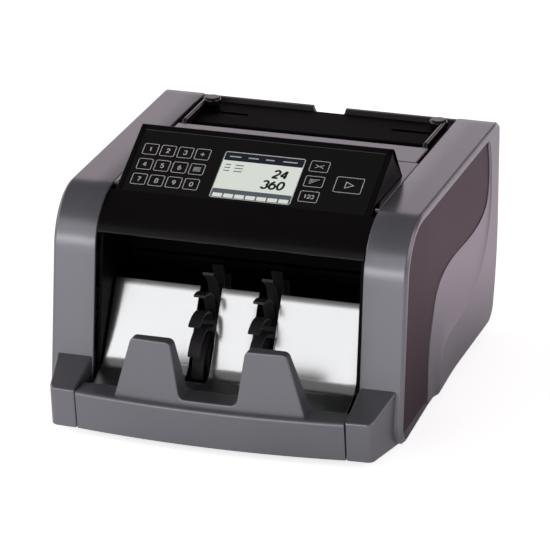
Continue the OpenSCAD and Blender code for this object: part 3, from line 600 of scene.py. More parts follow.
def leaf_edge(inset):
    """Upper and front edge of the leaf: corner to tip, along the top, round the bend, down the face."""
    corner, tip = edge_at(over[:1], RIM)[0], np.array([foot[TIP_ROWS, 0], TOP - inset])
    a = np.radians(ramp(90, FRONT_DEG, BEND_ROWS))
    start = BEND + (BEND_R - inset) * np.array([0, 1])
    bend = BEND + (BEND_R - inset) * np.stack([np.cos(a), np.sin(a)], axis=1)
    low = RIM + 0.6
    centre_z = low + LEAF_TOE_R
    z = ramp(bend[-1, 1], centre_z, FACE_ROWS)
    centre = (face_y(centre_z, inset + LEAF_TOE_R), centre_z)
    toe = arc(centre, LEAF_TOE_R, FRONT_DEG, 262, TOE_ROWS - 1)[1:]
    rows = [corner + (tip - corner) * np.linspace(0, 1, TIP_ROWS + 1)[:, None],
            tip + (start - tip) * (ramp(0, 1, TOP_ROWS) ** 1.25)[:, None], bend,
            np.stack([face_y(z, inset), z], axis=1), toe, [[toe[-1, 0] + 0.2, RIM]]]
    return np.concatenate(rows)


LEAF_SINK, LEAF_SLANT = 1.3, np.radians(0.72)  # depth at the rear, slant towards the front
DRAW, DRAW_H, DRAW_Y, DRAW_RUN = 3.2, 80, 95, 90  # depth, height, start and run of the drawn-in flat


def sunk(y):
    """Depth of the leaf's face at y: it lies in a plane that sinks a little towards the front."""
    return LEAF_SINK + np.tan(LEAF_SLANT) * (REAR - 18 - y)


def draw_in(at):
    """How far the lower rear of the side draws in: the square of the way down, eased in along y."""
    y = np.clip((at[:, 0] - DRAW_Y) / DRAW_RUN, 0, 1)
    return DRAW * np.clip(1 - at[:, 1] / DRAW_H, 0, 1) ** 2 * y**2 * (3 - 2 * y)


LEAF_THICK = 1.2  # thickness of the leaf
leaf_depths = [round(sunk(y), 2) for y in (REAR, BEND[0])]
print("depth of the leaf at the rear and at the bend, mm:", leaf_depths)

# %% [markdown]
# ## One cover from two grids
# The side grid takes its points from the lines above and its depth from simple rules: the recess is
# a tilted plane, the hollow a power of the way to its crest. The short rows at the rear corner have
# no depth, so that the grid ends in one flat pole. A sculpted mesh would have no such plain rules.

# %% The side as a grid


def cover_side():
    """Side face as rows of (y, z) and depth: flat rim, eased edge, recess floor, wall, then a hollow
    whose depth falls as one minus the fifth power of the way to its crest, and a flat that draws in
    towards the bottom."""
    outer, inner = edge_at(over, RIM), edge_at(under, RIM)
    open_rows = (np.arange(len(over)) > TIP_ROWS).astype(float)
    rim_in, rim_out = leaf_edge(LEAF_IN), leaf_edge(LEAF_IN - 0.6)
    start = np.maximum(sunk(foot[:, 0]) - 0.5, 0) * open_rows
    wall_in, wall_foot = ((sunk(e[:, 0]) + LEAF_THICK) * open_rows for e in (rim_in, foot))
    brink = 0.5 * open_rows
    wall_in[-1], brink[-1], wall_foot[-1] = 0, 0, start[-1]
    cols = [(outer, 0), (0.5 * (outer + rim_out), 0), (rim_out, 0),
            (leaf_edge(LEAF_IN - 0.35), 0.12 * brink), (leaf_edge(LEAF_IN - 0.1), 0.44 * brink),
            (rim_in, brink), (rim_in, wall_in), (foot, wall_foot),
            (foot, np.minimum(start + 0.4, wall_foot))]
    close, far = np.linspace(0.1, 0.7, 8), np.linspace(0.74, 0.98, 9)
    for s in np.concatenate([[0.008, 0.03], close, far, [0.993, 1]]):
        at = foot + (crest - foot) * s
        cols.append((at, start * (1 - s**5) + draw_in(at) * s * open_rows))
    for s in (0.015, 0.06, 0.2, 0.4, 0.6, 0.8, 1):
        at = crest + (inner - crest) * s
        cols.append((at, draw_in(at)))
    flat = np.stack([c for c, d in cols], axis=1)
    deep = np.stack([np.broadcast_to(d, len(over)) for c, d in cols], axis=1)
    return flat, deep


side_flat, side_deep = cover_side()
print("side grid of", side_deep.shape[0], "by", side_deep.shape[1], "points")

# %% [markdown]
# ## The band of the cover
# The band is what shows from the front and from above: a chamfer at the rim, the outer face and the
# inner edge. A Bevel modifier could make the chamfer, but here a profile of inset and depth is carried
# round the border of the side. So both grids share their edge points, and the seam closes when doubles
# merge.

# %% Band and whole cover


def cover(flat, deep):
    """Side grid, and a band whose profile (inset, depth) is carried round the side grid's border."""
    rows, cols = deep.shape
    side = np.concatenate([(OUT_X - deep)[..., None], flat], axis=-1).reshape(-1, 3)
    under_edge = np.broadcast_to([CORNER_R, CORNER_R, 270.0], (cols, 3))
    bottom = np.concatenate([flat[-1, :, :1], under_edge], axis=1)
    ring = np.concatenate([over[:-1], bottom[:-1], under[:0:-1]])
    sink = np.concatenate([deep[:-1, 0], deep[-1, :-1], deep[:0:-1, -1]])
    profile = [(RIM, 0), (1.76, 0.08), (1.5, 0.28), (0.5, 1.3), (0.22, 1.62), (0.06, 2.0), (0, 2.5),
               (0, 3.2), (0, 16), (0, BAND - 0.7), (0.2, BAND - 0.2), (0.7, BAND), (WALL - 0.3, BAND),
               (WALL, BAND - 0.3), (WALL, 8.0)]
    band = np.stack([np.concatenate([(OUT_X - x - sink * max(0, 1 - x / 14))[:, None], edge_at(ring, i)],
                                    axis=1) for i, x in profile])
    count = len(ring)
    faces = net(len(profile), count, round_cols=True)
    cap = [list(range((len(profile) - 1) * count, len(profile) * count))]
    return join((side, net(rows, cols)), (band.reshape(-1, 3), faces + cap))


cover_part = cover(side_flat, side_deep)
print("one cover:", len(cover_part[0]), "points")

# %% [markdown]
# ## The foot blocks
# At the front each cover ends in a block that takes the end of the bar. Its top rises to the rear and
# its front leans out, so a plain box won't do. It is a plan outline carried upwards to a sloping
# plane, and the points are then moved forward with their height. Block and cover are one moulding,
# so they are joined in one piece, and the left one is its mirror image.

# %% Foot blocks and both covers


def corner_foot():
    """Foot block at the front: a plan outline carried upwards, its front leaning out with height and
    its top a plane rising to the rear."""
    plan = rounded([(IN_X + 0.7, -1.2, 1.4), (IN_X + 18.4, -0.3, 5.0), (IN_X + 26.6, 40, 1.4),
                    (IN_X + 0.7, 40, 1.4)], 6)
    rise, lean_out = 13.4 / 46.2, 4.1 / 28
    share = lambda y: np.clip(1 - y / 20, 0, 1)
    top = lambda r: (28.6 + (r[..., 1] + 4.2) * rise) / (1 + rise * lean_out * share(r[..., 1]))
    points, faces = bar(plan, 0.0, top, "z", soft=1.2, steps=5, lead=0.15)
    points[:, 1] -= lean_out * points[:, 2] * share(points[:, 1])
    return points, faces


right = join(cover_part, corner_foot())
dress("right_side_cover", right, COVER_GREY, ["right_cheek"])
dress("left_side_cover", mirrored(right), COVER_GREY, ["left_cheek"])

# %% [markdown]
# ## The dark leaves
# The leaf is a thin separate moulding, a shade darker, let into the recess with a hairline gap
# all round, a little wider along the top. Its outline is the recess's own edge moved inwards, so the
# gap stays even whatever the recess does. The gap shows as the fine dark line round the leaf.

# %% Leaves
GAP = 0.25  # hairline round the leaf
upper = leaf_edge(LEAF_IN + 2.2 * GAP)[TIP_ROWS:-1]
upper[0, 0] -= 1.5 * GAP
lower = foot[TIP_ROWS:-1] + GAP * np.array([-0.7, 0.9])
lower = lower[lower[:, 1] < upper[0, 1] - 0.5]
leaf = bar(np.concatenate([upper, lower[::-1]]), lambda r: OUT_X - sunk(r[..., 0]) - LEAF_THICK,
           lambda r: OUT_X - sunk(r[..., 0]), "x", soft=0.3)
dress("right_leaf", leaf, INLAY_PLUM, ["right_inlay"])
dress("left_leaf", mirrored(leaf), INLAY_PLUM, ["left_inlay"])

# %% [markdown]
# ## The front bar
# A bar across the front closes the pocket. It is a channel, open below, with a wall at each end, and it
# bows forward towards the middle. A Simple Deform modifier could bend it. Here it is carried straight
# across in several steps, and its front is then moved back by the square of the way from the middle.

# %% Front bar
BAR_REAR, BAR_TOP = 12.0, 28.0  # rear face and top of the bar
BOW_R = 620.0  # radius of the bow in plan
BAR_X = IN_X + 0.2  # half length of the bar
channel = rounded([(-7.5, 0, 0.6), (FRONT, BAR_TOP - 0.1, 2.2),
                   (BAR_REAR, BAR_TOP + 0.1, 0.5), (BAR_REAR, 0, 0.5),
                   (BAR_REAR - WALL, 0, 0.3), (BAR_REAR - WALL, BAR_TOP - WALL, 0.5),
                   (-9.3, BAR_TOP - WALL, 0.5), (-5, 0, 0.3)])
ends = rounded([(-7.1, 0.2, 0.6), (-12, BAR_TOP - 0.6, 1.0), (BAR_REAR - 0.4, BAR_TOP - 0.4, 0.5),
                (BAR_REAR - 0.4, 0.2, 0.5)])


def bowed(part):
    """The front of a shape curved in plan: y moved back by x squared over twice the radius, fading to
    the rear."""
    points, faces = part
    share = np.clip((BAR_REAR - WALL - points[:, 1]) / (BAR_REAR - WALL + 4), 0, 1)
    return points + np.stack([0 * share, share * points[:, 0] ** 2 / (2 * BOW_R), 0 * share], axis=1), faces


bar_parts = [bowed(bar(channel, -BAR_X, BAR_X, "x", soft=0.25, middle=23)),
             bowed(bar(ends, -BAR_X + 0.1, -BAR_X + WALL, "x", 0.2)),
             bowed(bar(ends, BAR_X - WALL, BAR_X - 0.1, "x", 0.2))]
print("the bar bows by", round(BAR_X**2 / (2 * BOW_R), 1), "mm")

# %% [markdown]
# ## The stop tabs
# What has been counted lands against two tabs that stand on the bar. Tabs and the low web between them
# are one outline seen from the front, carried between a bowed front face and a rear plane that leans
# in, so the tabs thin upwards. Two separate boxes would lack the round foot where tab and web meet.

# %% Stop tabs
TAB_TOP = 70.7  # top of the tabs
half_top = np.concatenate([
    np.stack([ramp(0, 15.6, 4)[:-1], np.full(3, 31.8)], axis=1), arc((15.6, 36.4), 4.6, -90, -7, 8),
    arc((29.1, 66.7), 4, 173, 90, 8), np.stack([ramp(29.1, 50, 5)[:-1], np.full(4, TAB_TOP)], axis=1),
    arc((50, 66.7), 4, 90, 16, 8), [(64.6, 30.0), (65.9, 25.6)]])
tab_top = np.concatenate([half_top[::-1] * [-1, 1], [(0, 31.8)], half_top])
tab_outline = np.concatenate([tab_top, tab_top[::-1] * [1, 0] + [0, 25.5]])


def tab_front(r):
    """Bowed front of the tabs, leaning forward a hundredth of the height."""
    return -7.1 - 0.0105 * r[..., 1] + r[..., 0] ** 2 / (2 * BOW_R)


def tab_rear(r):
    """Rear plane of the tabs: upright at the foot, then leaning forward."""
    return BAR_REAR - 0.1 - np.clip(r[..., 1] - 33, 0, None) * 9.4 / 37.1


def laddered(part, n):
    """The same shape with its two end faces, of n points each, cut into quads from the top to the
    bottom line."""
    points, faces = part
    rungs = [[i, i + 1, n - 2 - i, n - 1 - i] for i in range(n // 2 - 1)]
    last = len(points) - n
    return points, faces[:-2] + rungs + [[i + last for i in q] for q in rungs]


stops = laddered(bar(tab_outline, tab_front, tab_rear, "y", soft=1.1, steps=5, lead=0.2), len(tab_outline))
front_bar = join(*bar_parts, stops)
dress("front_bar_with_tabs", front_bar, BAR_GREY, ["front_bar"])

# %% [markdown]
# ## The panel housing
# The control panel is a wedge on the deck whose face rolls over at its lower edge into a curved
# apron above the pocket. The apron is a curve drawn once and given a wall, the wedge has two cheeks
# and a back, and the sheet that carries the keys lies in the frame they leave.

# %% Housing
PANEL_AT, TILT = np.array([69.5, 145.3]), np.radians(26.6)  # lower edge and slope of the panel's face
PANEL_X = 88.0  # half width of the wedge


def on_panel(x, v, n):
    """Panel coordinates (across, up the slope, out of the face) to body millimetres."""
    x, v, n = np.broadcast_arrays(*(np.asarray(q, float) for q in (x, v, n)))
    return np.stack([x, PANEL_AT[0] + v * np.cos(TILT) - n * np.sin(TILT),
                     PANEL_AT[1] + v * np.sin(TILT) + n * np.cos(TILT)], axis=-1)


PANEL_TOP = on_panel(0, 61.2, 0)[1:]
SEAT_LOW, SEAT_HIGH = on_panel(0, -1.5, 0)[1:], on_panel(0, 55.9, 0)[1:]
BACK_FOOT = np.array([144.3, TOP + 0.02])
roll = cubic((67.7, 144.4), (55.2, 138.1), (44.8, 135.4), (40.3, 124.3), np.linspace(0, 1, 29))
roll = np.concatenate([[SEAT_LOW], roll])
heading = unit(np.gradient(roll, axis=0))
inside = roll + WALL * np.stack([-heading[:, 1], heading[:, 0]], axis=1)
lip = np.array([(40.32, 123.95), (40.6, 123.72), (41.0, 123.7), (46.6, 124.5), (46.8, 125.2), (46.6, 126.6)])
apron = bar(np.concatenate([roll, lip, inside[:-1][::-1]]), -IN_X + 0.3, IN_X - 0.3, "x", soft=0.4, lead=0.2)
wedge = rounded([(*SEAT_LOW, 0.2), (70, 143.4, 0.2), (84.4, 143.4, 0.2), (84.4, BACK_FOOT[1], 0.2),
                 (*BACK_FOOT, 0.3), (*PANEL_TOP, 1.2)])
back = rounded([(*SEAT_HIGH, 0.2), (121.3, 166.7, 0.4), (141.0, BACK_FOOT[1], 0.3), (*BACK_FOOT, 0.3),
                (*PANEL_TOP, 1.2)])
wedge_cheek = bar(wedge, PANEL_X - 4, PANEL_X, "x", soft=0.7)
housing = join(apron, wedge_cheek, bar(back, -PANEL_X, PANEL_X, "x", soft=0.7), mirrored(wedge_cheek))
dress("panel_housing", housing, PANEL_BLACK, ["front_cover"])

# %% [markdown]
# ## Deck and hopper lip
# Behind the panel a grey deck closes the top, and a lip with a sloping wall is the front end of the
# hopper. The deck is a plan outline carried upwards, with a cut-out for the wedge. The lip is drawn
# from the side instead, because there its slope is one straight line of the profile.

# %% Deck and lip
HOP = REAR - 103  # rear end of the deck, where the hopper starts
DECK_Z = TOP - WALL  # underside of the deck
deck_x = IN_X - 0.3
half_deck = [(PANEL_X - 4, 104), (PANEL_X - 4, 84.5), (PANEL_X + 0.4, 84.5), (PANEL_X + 0.4, 76),
             (deck_x, 76), (deck_x, HOP - 0.4)]
plan = half_deck + [(-x, y) for x, y in half_deck[::-1]]
deck = bar(rounded([(x, y, 0.4) for x, y in plan]), DECK_Z, TOP, "z", soft=0.5)
dress("deck", deck, COVER_GREY, ["top_deck"])
SPAN_X = IN_X - 3.5  # half width between the side frames
lip_top = rounded([(HOP, DECK_Z, 0.2), (HOP, TOP, 0.5), (HOP + 33, TOP - 0.3, 0.9),
                   (HOP + 31.5, DECK_Z, 0.2)])
lip_wall = rounded([(HOP + 31, TOP - 0.6, 0.3), (HOP + 33, TOP - 0.8, 0.4), (HOP + 18.8, 122.4, 0.6),
                    (HOP + 16.4, 123.6, 0.6), (HOP + 28.6, DECK_Z + 0.2, 0.3)])
lip_part = join(bar(lip_top, -SPAN_X - 0.8, SPAN_X + 0.8, "x"), bar(lip_wall, -SPAN_X + 6, SPAN_X - 6, "x"))
dress("hopper_lip_moulding", lip_part, COVER_GREY, ["hopper_lip"])

# %% [markdown]
# ## Hopper side guides
# Two sliding guides set the hopper's width. Each is a thin wall with a finger grip on top and a tongue
# that runs in a slot of the tray. The parts are separate bars and blocks that overlap a little, which
# costs nothing in a render and spares a boolean. They are one piece, because they slide as one.

# %% Guides


def block(low, high, soft=0.4, axis="z", corner=0.4):
    """Box between two corners as a bar of a rounded rectangle."""
    i, j, k = {"x": (1, 2, 0), "y": (0, 2, 1), "z": (0, 1, 2)}[axis]
    sides = [(low[i], low[j]), (high[i], low[j]), (high[i], high[j]), (low[i], high[j])]
    return bar(rounded([(u, v, corner) for u, v in sides], 3), low[k], high[k], axis, soft)


GUIDE_X = SPAN_X - 4  # inner face of a guide at rest
wing = [(22.6, 127, 1), (38.6, 127, 1), (47.4, 141.5, 3), (50.6, 143.4, 2), (90, 144.1, 0.5),
        (90, 147.6, 1.5), (84, 149, 3), (36.4, 149, 2), (34.6, 147.6, 1)]
wing_line = rounded([(HOP + y, z, r) for y, z, r in wing])
grip = np.array([GUIDE_X - 2.6, HOP + 85]) + arc((0, 0), 1, 0, 360, 40)[:-1] * [6.3, 6.8]
guide = join(bar(wing_line, GUIDE_X, GUIDE_X + 3, "x", soft=1.25, steps=5, lead=0.1),
             bar(grip, 144.1, 149.9, "z", soft=2.2, steps=7),
             block((GUIDE_X, HOP + 71.2, 139.5), (GUIDE_X + 3, HOP + 74.8, 145), 0.2, corner=0.3),
             block((GUIDE_X - 1, HOP + 69, 138.4), (GUIDE_X + 3.6, HOP + 77, 140.2), 0.3, corner=0.4))
dress("right_guide_slide", guide, GUIDE_BLACK, ["right_guide"], "right_guide_slider")
dress("left_guide_slide", mirrored(guide), GUIDE_BLACK, ["left_guide"], "left_guide_slider")

# %% [markdown]
# ## The stacker plate
# The pocket's floor and back are one bright steel sheet with a bend and two slots for the wheels.
# Slots could be cut with booleans. Here the sheet is a grid whose lines lie on the slot edges, so that
# leaving out the cells between them cuts the slots cleanly. Solidify then gives it its thickness.

# %% Stacker plate
LOW_A, HIGH_A = np.radians(19), np.radians(60.6)  # slopes of the floor and of the back
PLATE_R, PLATE_T = 16.0, 1.2  # bend radius and thickness
KNEE = np.array([36.7, 32.5])  # where both slopes would meet
WHEEL_C, WHEEL_R = np.array([66.0, 56.0]), 41.0  # stacker shaft, radius of the wheels
WHEEL_X, SLOT_W = 20.5, 7.5  # wheels from the middle, half width of their slots
along_low = np.array([np.cos(LOW_A), np.sin(LOW_A)])
reach = PLATE_R * np.tan((HIGH_A - LOW_A) / 2)
knee_c = KNEE - reach * along_low + PLATE_R * np.array([-along_low[1], along_low[0]])
s = np.linspace(-25, 0, 2000)
slot_s = s[np.argmin(np.abs(np.hypot(*(KNEE + s[:, None] * along_low - WHEEL_C).T) - WHEEL_R - 4))]
floor_s = np.concatenate([np.linspace(-23.7 / np.cos(LOW_A), slot_s, 6),
                          np.linspace(slot_s, -reach, 3)[1:-1]])
knee_a = np.degrees([LOW_A, HIGH_A]) - 90
top_at = np.array([KNEE[0] + (84 - KNEE[1]) / np.tan(HIGH_A), 84.0])
bend_line = arc(knee_c, PLATE_R, knee_a[0], knee_a[1], 14)
rise = bend_line[-1] + (top_at - bend_line[-1]) * ramp(0, 1, 10)[:, None]
sheet_line = np.concatenate([KNEE + floor_s[:, None] * along_low, bend_line, rise])
edges = np.array([WHEEL_X - SLOT_W, WHEEL_X + SLOT_W, SPAN_X - 1])
sheet_x = np.unique(np.concatenate([edges, -edges, np.linspace(-SPAN_X + 1, SPAN_X - 1, 25)]).round(3))
grid = np.stack(np.broadcast_arrays(sheet_x[None, :], sheet_line[:, :1], sheet_line[:, 1:]), axis=-1)
cell_x = np.abs(0.5 * (sheet_x[1:] + sheet_x[:-1]))
mid = 0.5 * (sheet_line[1:] + sheet_line[:-1])
cut = (np.abs(cell_x - WHEEL_X) < SLOT_W)[None] & (np.hypot(*(mid - WHEEL_C).T) < WHEEL_R + 4)[:, None]
cells = np.array(net(*grid.shape[:2]))[~cut.reshape(-1)].tolist()
sheet = (grid.reshape(-1, 3), cells)
plate = dress("bent_stacker_plate", sheet, PLATE_STEEL, ["stacker_plate"])
wall_mod = plate.modifiers.new("sheet", "SOLIDIFY")
wall_mod.thickness, wall_mod.offset = PLATE_T / 1000, -1.0
edge_mod = plate.modifiers.new("deburred edge", "BEVEL")
edge_mod.width, edge_mod.segments, edge_mod.limit_method = 0.0003, 2, "ANGLE"

# %% [markdown]
# ## The stacker wheels
# The two wheels in the slots catch the paper between their soft fins and lay it against the tabs. A
# fin is a cubic curve given a thickness and carried across the wheel's width. One fin turned about
# the shaft twelve times makes a wheel, and the hub is a ring turned from its profile.

# %% Stacker wheels
FIN_COUNT, FIN_T = 12, 1.7  # fins of a wheel and their thickness
HUB_R, SHAFT_R = 9.0, 3.0


def fin(turn, x):
    """A swept fin: a cubic from hub to rim given a thickness, turned about the shaft."""
    tip = WHEEL_R * np.array([np.cos(np.radians(40)), np.sin(np.radians(40))])
    line = cubic((HUB_R - 2, 0), (20, 1), (33, 9), tip, np.linspace(0, 1, 15))
    head = unit(np.gradient(line, axis=0))
    other = line + FIN_T * np.stack([-head[:, 1], head[:, 0]], axis=1)
    c, s = np.cos(turn), np.sin(turn)
    outline = np.concatenate([line, other[::-1]]) @ np.array([[c, s], [-s, c]]) + WHEEL_C
    return bar(outline, x - 4, x + 4, "x", soft=0.4, steps=2, lead=0.15)


def turned(profile, centre, axis="x", steps=40):
    """Closed loop of (along, radius) turned about a line parallel to an axis through centre (u, v)."""
    profile = np.asarray(profile, float)
    a = np.linspace(0, 2 * np.pi, steps, endpoint=False)[:, None]
    circle = np.stack([np.cos(a), np.sin(a)], axis=-1)
    flat = np.array(centre, float) + profile[None, :, 1, None] * circle
    points = stand(flat, profile[None, :, 0] + 0 * a, axis).reshape(-1, 3)
    return points, net(steps, len(profile), True, True)


def eased_ring(x0, x1, bore, radius, soft, steps=4):
    """Profile of a ring: bore to radius from x0 to x1, with the outer edges as quarter rounds."""
    return np.concatenate([[(x1, bore), (x0, bore)], arc((x0 + soft, radius - soft), soft, 180, 90, steps),
                           arc((x1 - soft, radius - soft), soft, 90, 0, steps)])


turns = np.arange(FIN_COUNT) * 2 * np.pi / FIN_COUNT
sides = (-WHEEL_X, WHEEL_X)
wheel_parts = [fin(t, x) for x in sides for t in turns]
wheel_parts += [turned(eased_ring(x - 6, x + 6, SHAFT_R - 0.02, HUB_R, 0.6), WHEEL_C) for x in sides]
dress("finned_wheels", join(*wheel_parts), WHEEL_BLACK, ["stacker_wheels"], "stacker_rotor")

# %% [markdown]
# ## Rollers and feet
# Rubber tyres draw the paper in and drive it round its path. They are turned from one
# profile: a bore, two faces and eased edges. The feet are turned too, a little narrower at the table.
# Ready-made cylinders would do for size, but their sharp edges would show no line of light.

# %% Rollers and feet
FEED_C, PICK_C, DRIVE_C = (HOP + 36.6, 93.5), (HOP + 52.3, 124.8), (128, 82)  # shafts, y and z
ROLLERS = [("feed_tyres", FEED_C, 16, (-34, -14, 14, 34), 5, "feed_rollers", "feed_rotor"),
           ("pickup_tyres", PICK_C, 14, (-26, 26), 6, "pickup_rollers", "pickup_rotor"),
           ("drive_tyres", DRIVE_C, 9.85, (-50, -14, 14, 50), 6, "drive_rollers", "drive_rotor")]
for name, centre, radius, xs, half, node, body in ROLLERS:
    rings = [turned(eased_ring(x - half, x + half, SHAFT_R - 0.02, radius, 0.8), centre) for x in xs]
    dress(name, join(*rings), RUBBER, [node], body)
foot_profile = [(0, 0), (-FOOT_H, 0), (-FOOT_H, 6.4), (-FOOT_H + 0.3, 7.1), (-FOOT_H + 1, 7.5),
                (-0.2, 8.5), (0, 8.4)]
feet = [turned(foot_profile, (x, y), "z") for x in (-SPAN_X + 14.5, SPAN_X - 14.5) for y in (38, REAR - 27)]
dress("rubber_feet", join(*feet), FOOT_RUBBER, ["feet"])

# %% [markdown]
# ## Signs drawn as strokes
# Keys and display carry plain numerals and marks. Text objects could make them, but then a font would
# have to be at hand. Here a sign is a few strokes, ribbons of even width along lines and parts of
# ellipses, as an engraver would cut them.

# %% Ribbons and ovals


def ribbon(points, width, closed=False):
    """Flat band along a line in the panel: each point moved half the width to both sides."""
    p = np.asarray(points, float)
    if closed:
        side = mitre(counter_clockwise(p))
        p = counter_clockwise(p)
    else:
        head = unit(np.gradient(p, axis=0))
        side = np.stack([head[:, 1], -head[:, 0]], axis=1)
    rows = np.stack([p + side * width / 2, p - side * width / 2], axis=1)
    return rows.reshape(-1, 2), net(len(p), 2, round_rows=closed)


def oval(cx, cy, rx, ry, start=0, end=360, steps=16):
    """Part of an ellipse: centre plus (rx cos a, ry sin a)."""
    a = np.radians(np.linspace(start, end, steps + 1))
    return np.stack([cx + rx * np.cos(a), cy + ry * np.sin(a)], axis=1)


print("a round stroke has", len(ribbon(oval(0, 0, 1, 1), 0.1)[1]), "cells")

# %% [markdown]
# ## Numerals
# Each numeral stands in a box six tenths wide and one high, so that one number sets its size on a key or
# on the display. Straight segments, as on a pocket calculator, would be easier to make, but round figures
# suit the printed keys. A slant leans the figures of the display.

# %% Numerals


def strokes(sign):
    """A digit in a box 0.6 wide and 1 high, as a few lines and parts of ellipses."""
    top, low = oval(0.3, 0.74, 0.25, 0.26, 160, -60), oval(0.3, 0.28, 0.28, 0.28, 75, -165)
    return {
        "0": [oval(0.3, 0.5, 0.29, 0.5)],
        "1": [[(0.1, 0.78), (0.34, 1.0)], [(0.34, 1.0), (0.34, 0.0)]],
        "2": [np.concatenate([oval(0.3, 0.72, 0.27, 0.28, 165, -35), [(0.02, 0.02)]]),
              [(0.0, 0.02), (0.58, 0.02)]],
        "3": [top, low],
        "4": [[(0.44, 0.0), (0.44, 1.0)], [(0.44, 1.0), (0.0, 0.3)], [(0.0, 0.3), (0.6, 0.3)]],
        "5": [[(0.55, 0.98), (0.1, 0.98)], [(0.1, 0.98), (0.06, 0.55)],
              oval(0.28, 0.32, 0.3, 0.32, 130, -150)],
        "6": [oval(0.3, 0.31, 0.28, 0.31), oval(0.52, 0.38, 0.5, 0.6, 105, 185)],
        "7": [[(0.02, 0.98), (0.58, 0.98)], [(0.58, 0.98), (0.2, 0.0)]],
        "8": [oval(0.3, 0.75, 0.24, 0.25), oval(0.3, 0.26, 0.29, 0.27)],
        "9": [oval(0.3, 0.69, 0.28, 0.31), oval(0.08, 0.62, 0.5, 0.6, -75, 5)],
        "+": [[(0.3, 0.15), (0.3, 0.85)], [(-0.05, 0.5), (0.65, 0.5)]],
    }[sign]


def written(text, x, v, height, weight, slant=0.0):
    """Digits side by side, their middle at (x, v), as one flat net in the panel plane."""
    step = 0.78 * height
    left = x - (step * (len(text) - 1) + 0.6 * height) / 2
    parts = []
    for i, sign in enumerate(text):
        for line in strokes(sign):
            q = np.asarray(line, float) * height
            q = q + np.stack([slant * q[:, 1], 0 * q[:, 1]], axis=1)
            parts.append(ribbon(q + [left + i * step, v - height / 2], weight))
    return parts


print("the count 360 takes", len(written("360", 0, 0, 7, 1.6)), "strokes")

# %% [markdown]
# ## Marks of the keys
# The number keys carry their digit and the others a plain mark for what they do: a plus, the lines of a
# bundle, a cross, lines that grow shorter, a small count, and a triangle to start. All are flat shapes
# in the panel's plane, and one helper lifts them to the panel's slope.

# %% Marks of the keys
PRINT_WHITE = moulded("white print", (206, 206, 210), (222, 222, 225), (0.4, 0.5), relief=0.0)


def box_line(x, v, w, h, r):
    """Closed outline of a rounded rectangle about (x, v)."""
    return rounded([(x - w / 2, v - h / 2, r), (x + w / 2, v - h / 2, r), (x + w / 2, v + h / 2, r),
                    (x - w / 2, v + h / 2, r)], 5, lead=0.05)


def lift(parts, n):
    """Flat panel shapes as one shape at height n above the panel face."""
    flat = [(np.concatenate([p, np.full((len(p), 1), n)], axis=1), f) for p, f in parts]
    points, faces = join(*flat)
    return on_panel(points[:, 0], points[:, 1], points[:, 2]), faces


def key_sign(node, x, v):
    """The sign of one key about (x, v): a digit, or a plain mark for what the key does."""
    mark = node[len("key_"):]
    if mark.isdigit():
        return written(mark, x, v, 3.6, 0.72)
    if mark == "add":
        return written("+", x, v, 4.2, 0.72)
    if mark == "batch":
        return [ribbon([(x - 2.6, v + d), (x + 2.6, v + d)], 0.5) for d in (-1.6, -0.5, 0.6, 1.7)]
    if mark == "mix":
        return [ribbon([(x - 3, v - d), (x + 3, v + d)], 0.5) for d in (1.5, -1.5)]
    if mark == "sort":
        return [ribbon([(x - 3.4, v + 1.8 - i * 1.2), (x + 3.4 - i * 1.7, v + 1.8 - i * 1.2)], 0.5)
                for i in range(4)]
    if mark == "count":
        return written("123", x, v, 3.2, 0.62)
    return [ribbon([(x - 2.2, v - 2.8), (x + 3.2, v), (x - 2.2, v + 2.8)], 0.6, closed=True)]


print("the bundle mark has", len(key_sign("key_batch", 0, 0)), "lines")

# %% [markdown]
# ## Print on the keys
# The keys show as windows of a printed film: a thin white frame and a sign in each. The print floats a
# hair above the key's face and rides on the key, so it sinks with it. An image could carry the
# print, but strokes stay sharp at any distance. A fine lighter line along the film's top edge is a painted
# highlight that stands for the light its edge catches.

# %% Key print
PRINT_N = 0.03  # height of the print above the film
KEY_H, START_H = 10.2, 14.4  # height of a key and of the start key, up the slope
film_high = np.array(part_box("panel_overlay")[1]) * 1000 - BODY_TO_TABLE
FILM_X, FILM_V = film_high[0], (film_high[2] - PANEL_AT[1]) / np.sin(TILT)
# Painted highlight: a lighter grey for the thin line along the black film's top edge, where that edge catches
# the light.
FILM_EDGE_HIGHLIGHT = moulded("painted film edge highlight", (96, 88, 89), (106, 98, 99), (0.3, 0.4), relief=0.0)
print("film half width", round(FILM_X, 2), "top edge at", round(FILM_V, 2))
painted_edge_highlight = ribbon([(-FILM_X + 0.3, FILM_V - 0.25), (FILM_X - 0.3, FILM_V - 0.25)], 0.36)
dress("film_edge_painted_highlight", lift([painted_edge_highlight], PRINT_N), FILM_EDGE_HIGHLIGHT, merge=False)
for node in sorted(n for n in NODES if n.startswith("key_")):
    low, high = (np.array(p) * 1000 - BODY_TO_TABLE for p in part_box(node))
    x, w = 0.5 * (low[0] + high[0]), high[0] - low[0] - 0.6
    h = START_H if node == "key_start" else KEY_H
    v = (high[2] - PANEL_AT[1]) / np.sin(TILT) - h / 2
    ring = ribbon(box_line(x, v, w - 0.5, h - 0.5, 1.1), 0.48, closed=True)
    dress(f"{node}_print", lift([ring] + key_sign(node, x, v), PRINT_N), PRINT_WHITE,
          body=f"{node}_cap", merge=False)

# %% [markdown]
# ## The display
# A pale liquid crystal field under a dark heading strip, with a made-up count in two rows to the right
# and a strip of small boxes at the foot. Each layer is a flat piece a few hundredths of a millimetre
# above the last, so no two faces lie in one plane and flicker. The field glows a little by itself.

# %% Display layers
LCD_X, LCD_V, LCD_W, LCD_H = 4.0, 22.2, 55.9, 42.9  # middle, width and height on the panel
GLASS_N = -0.28  # the glass lies a little below the film


def sheet_of(outline):
    """One flat face inside an outline."""
    return outline, [list(range(len(outline)))]


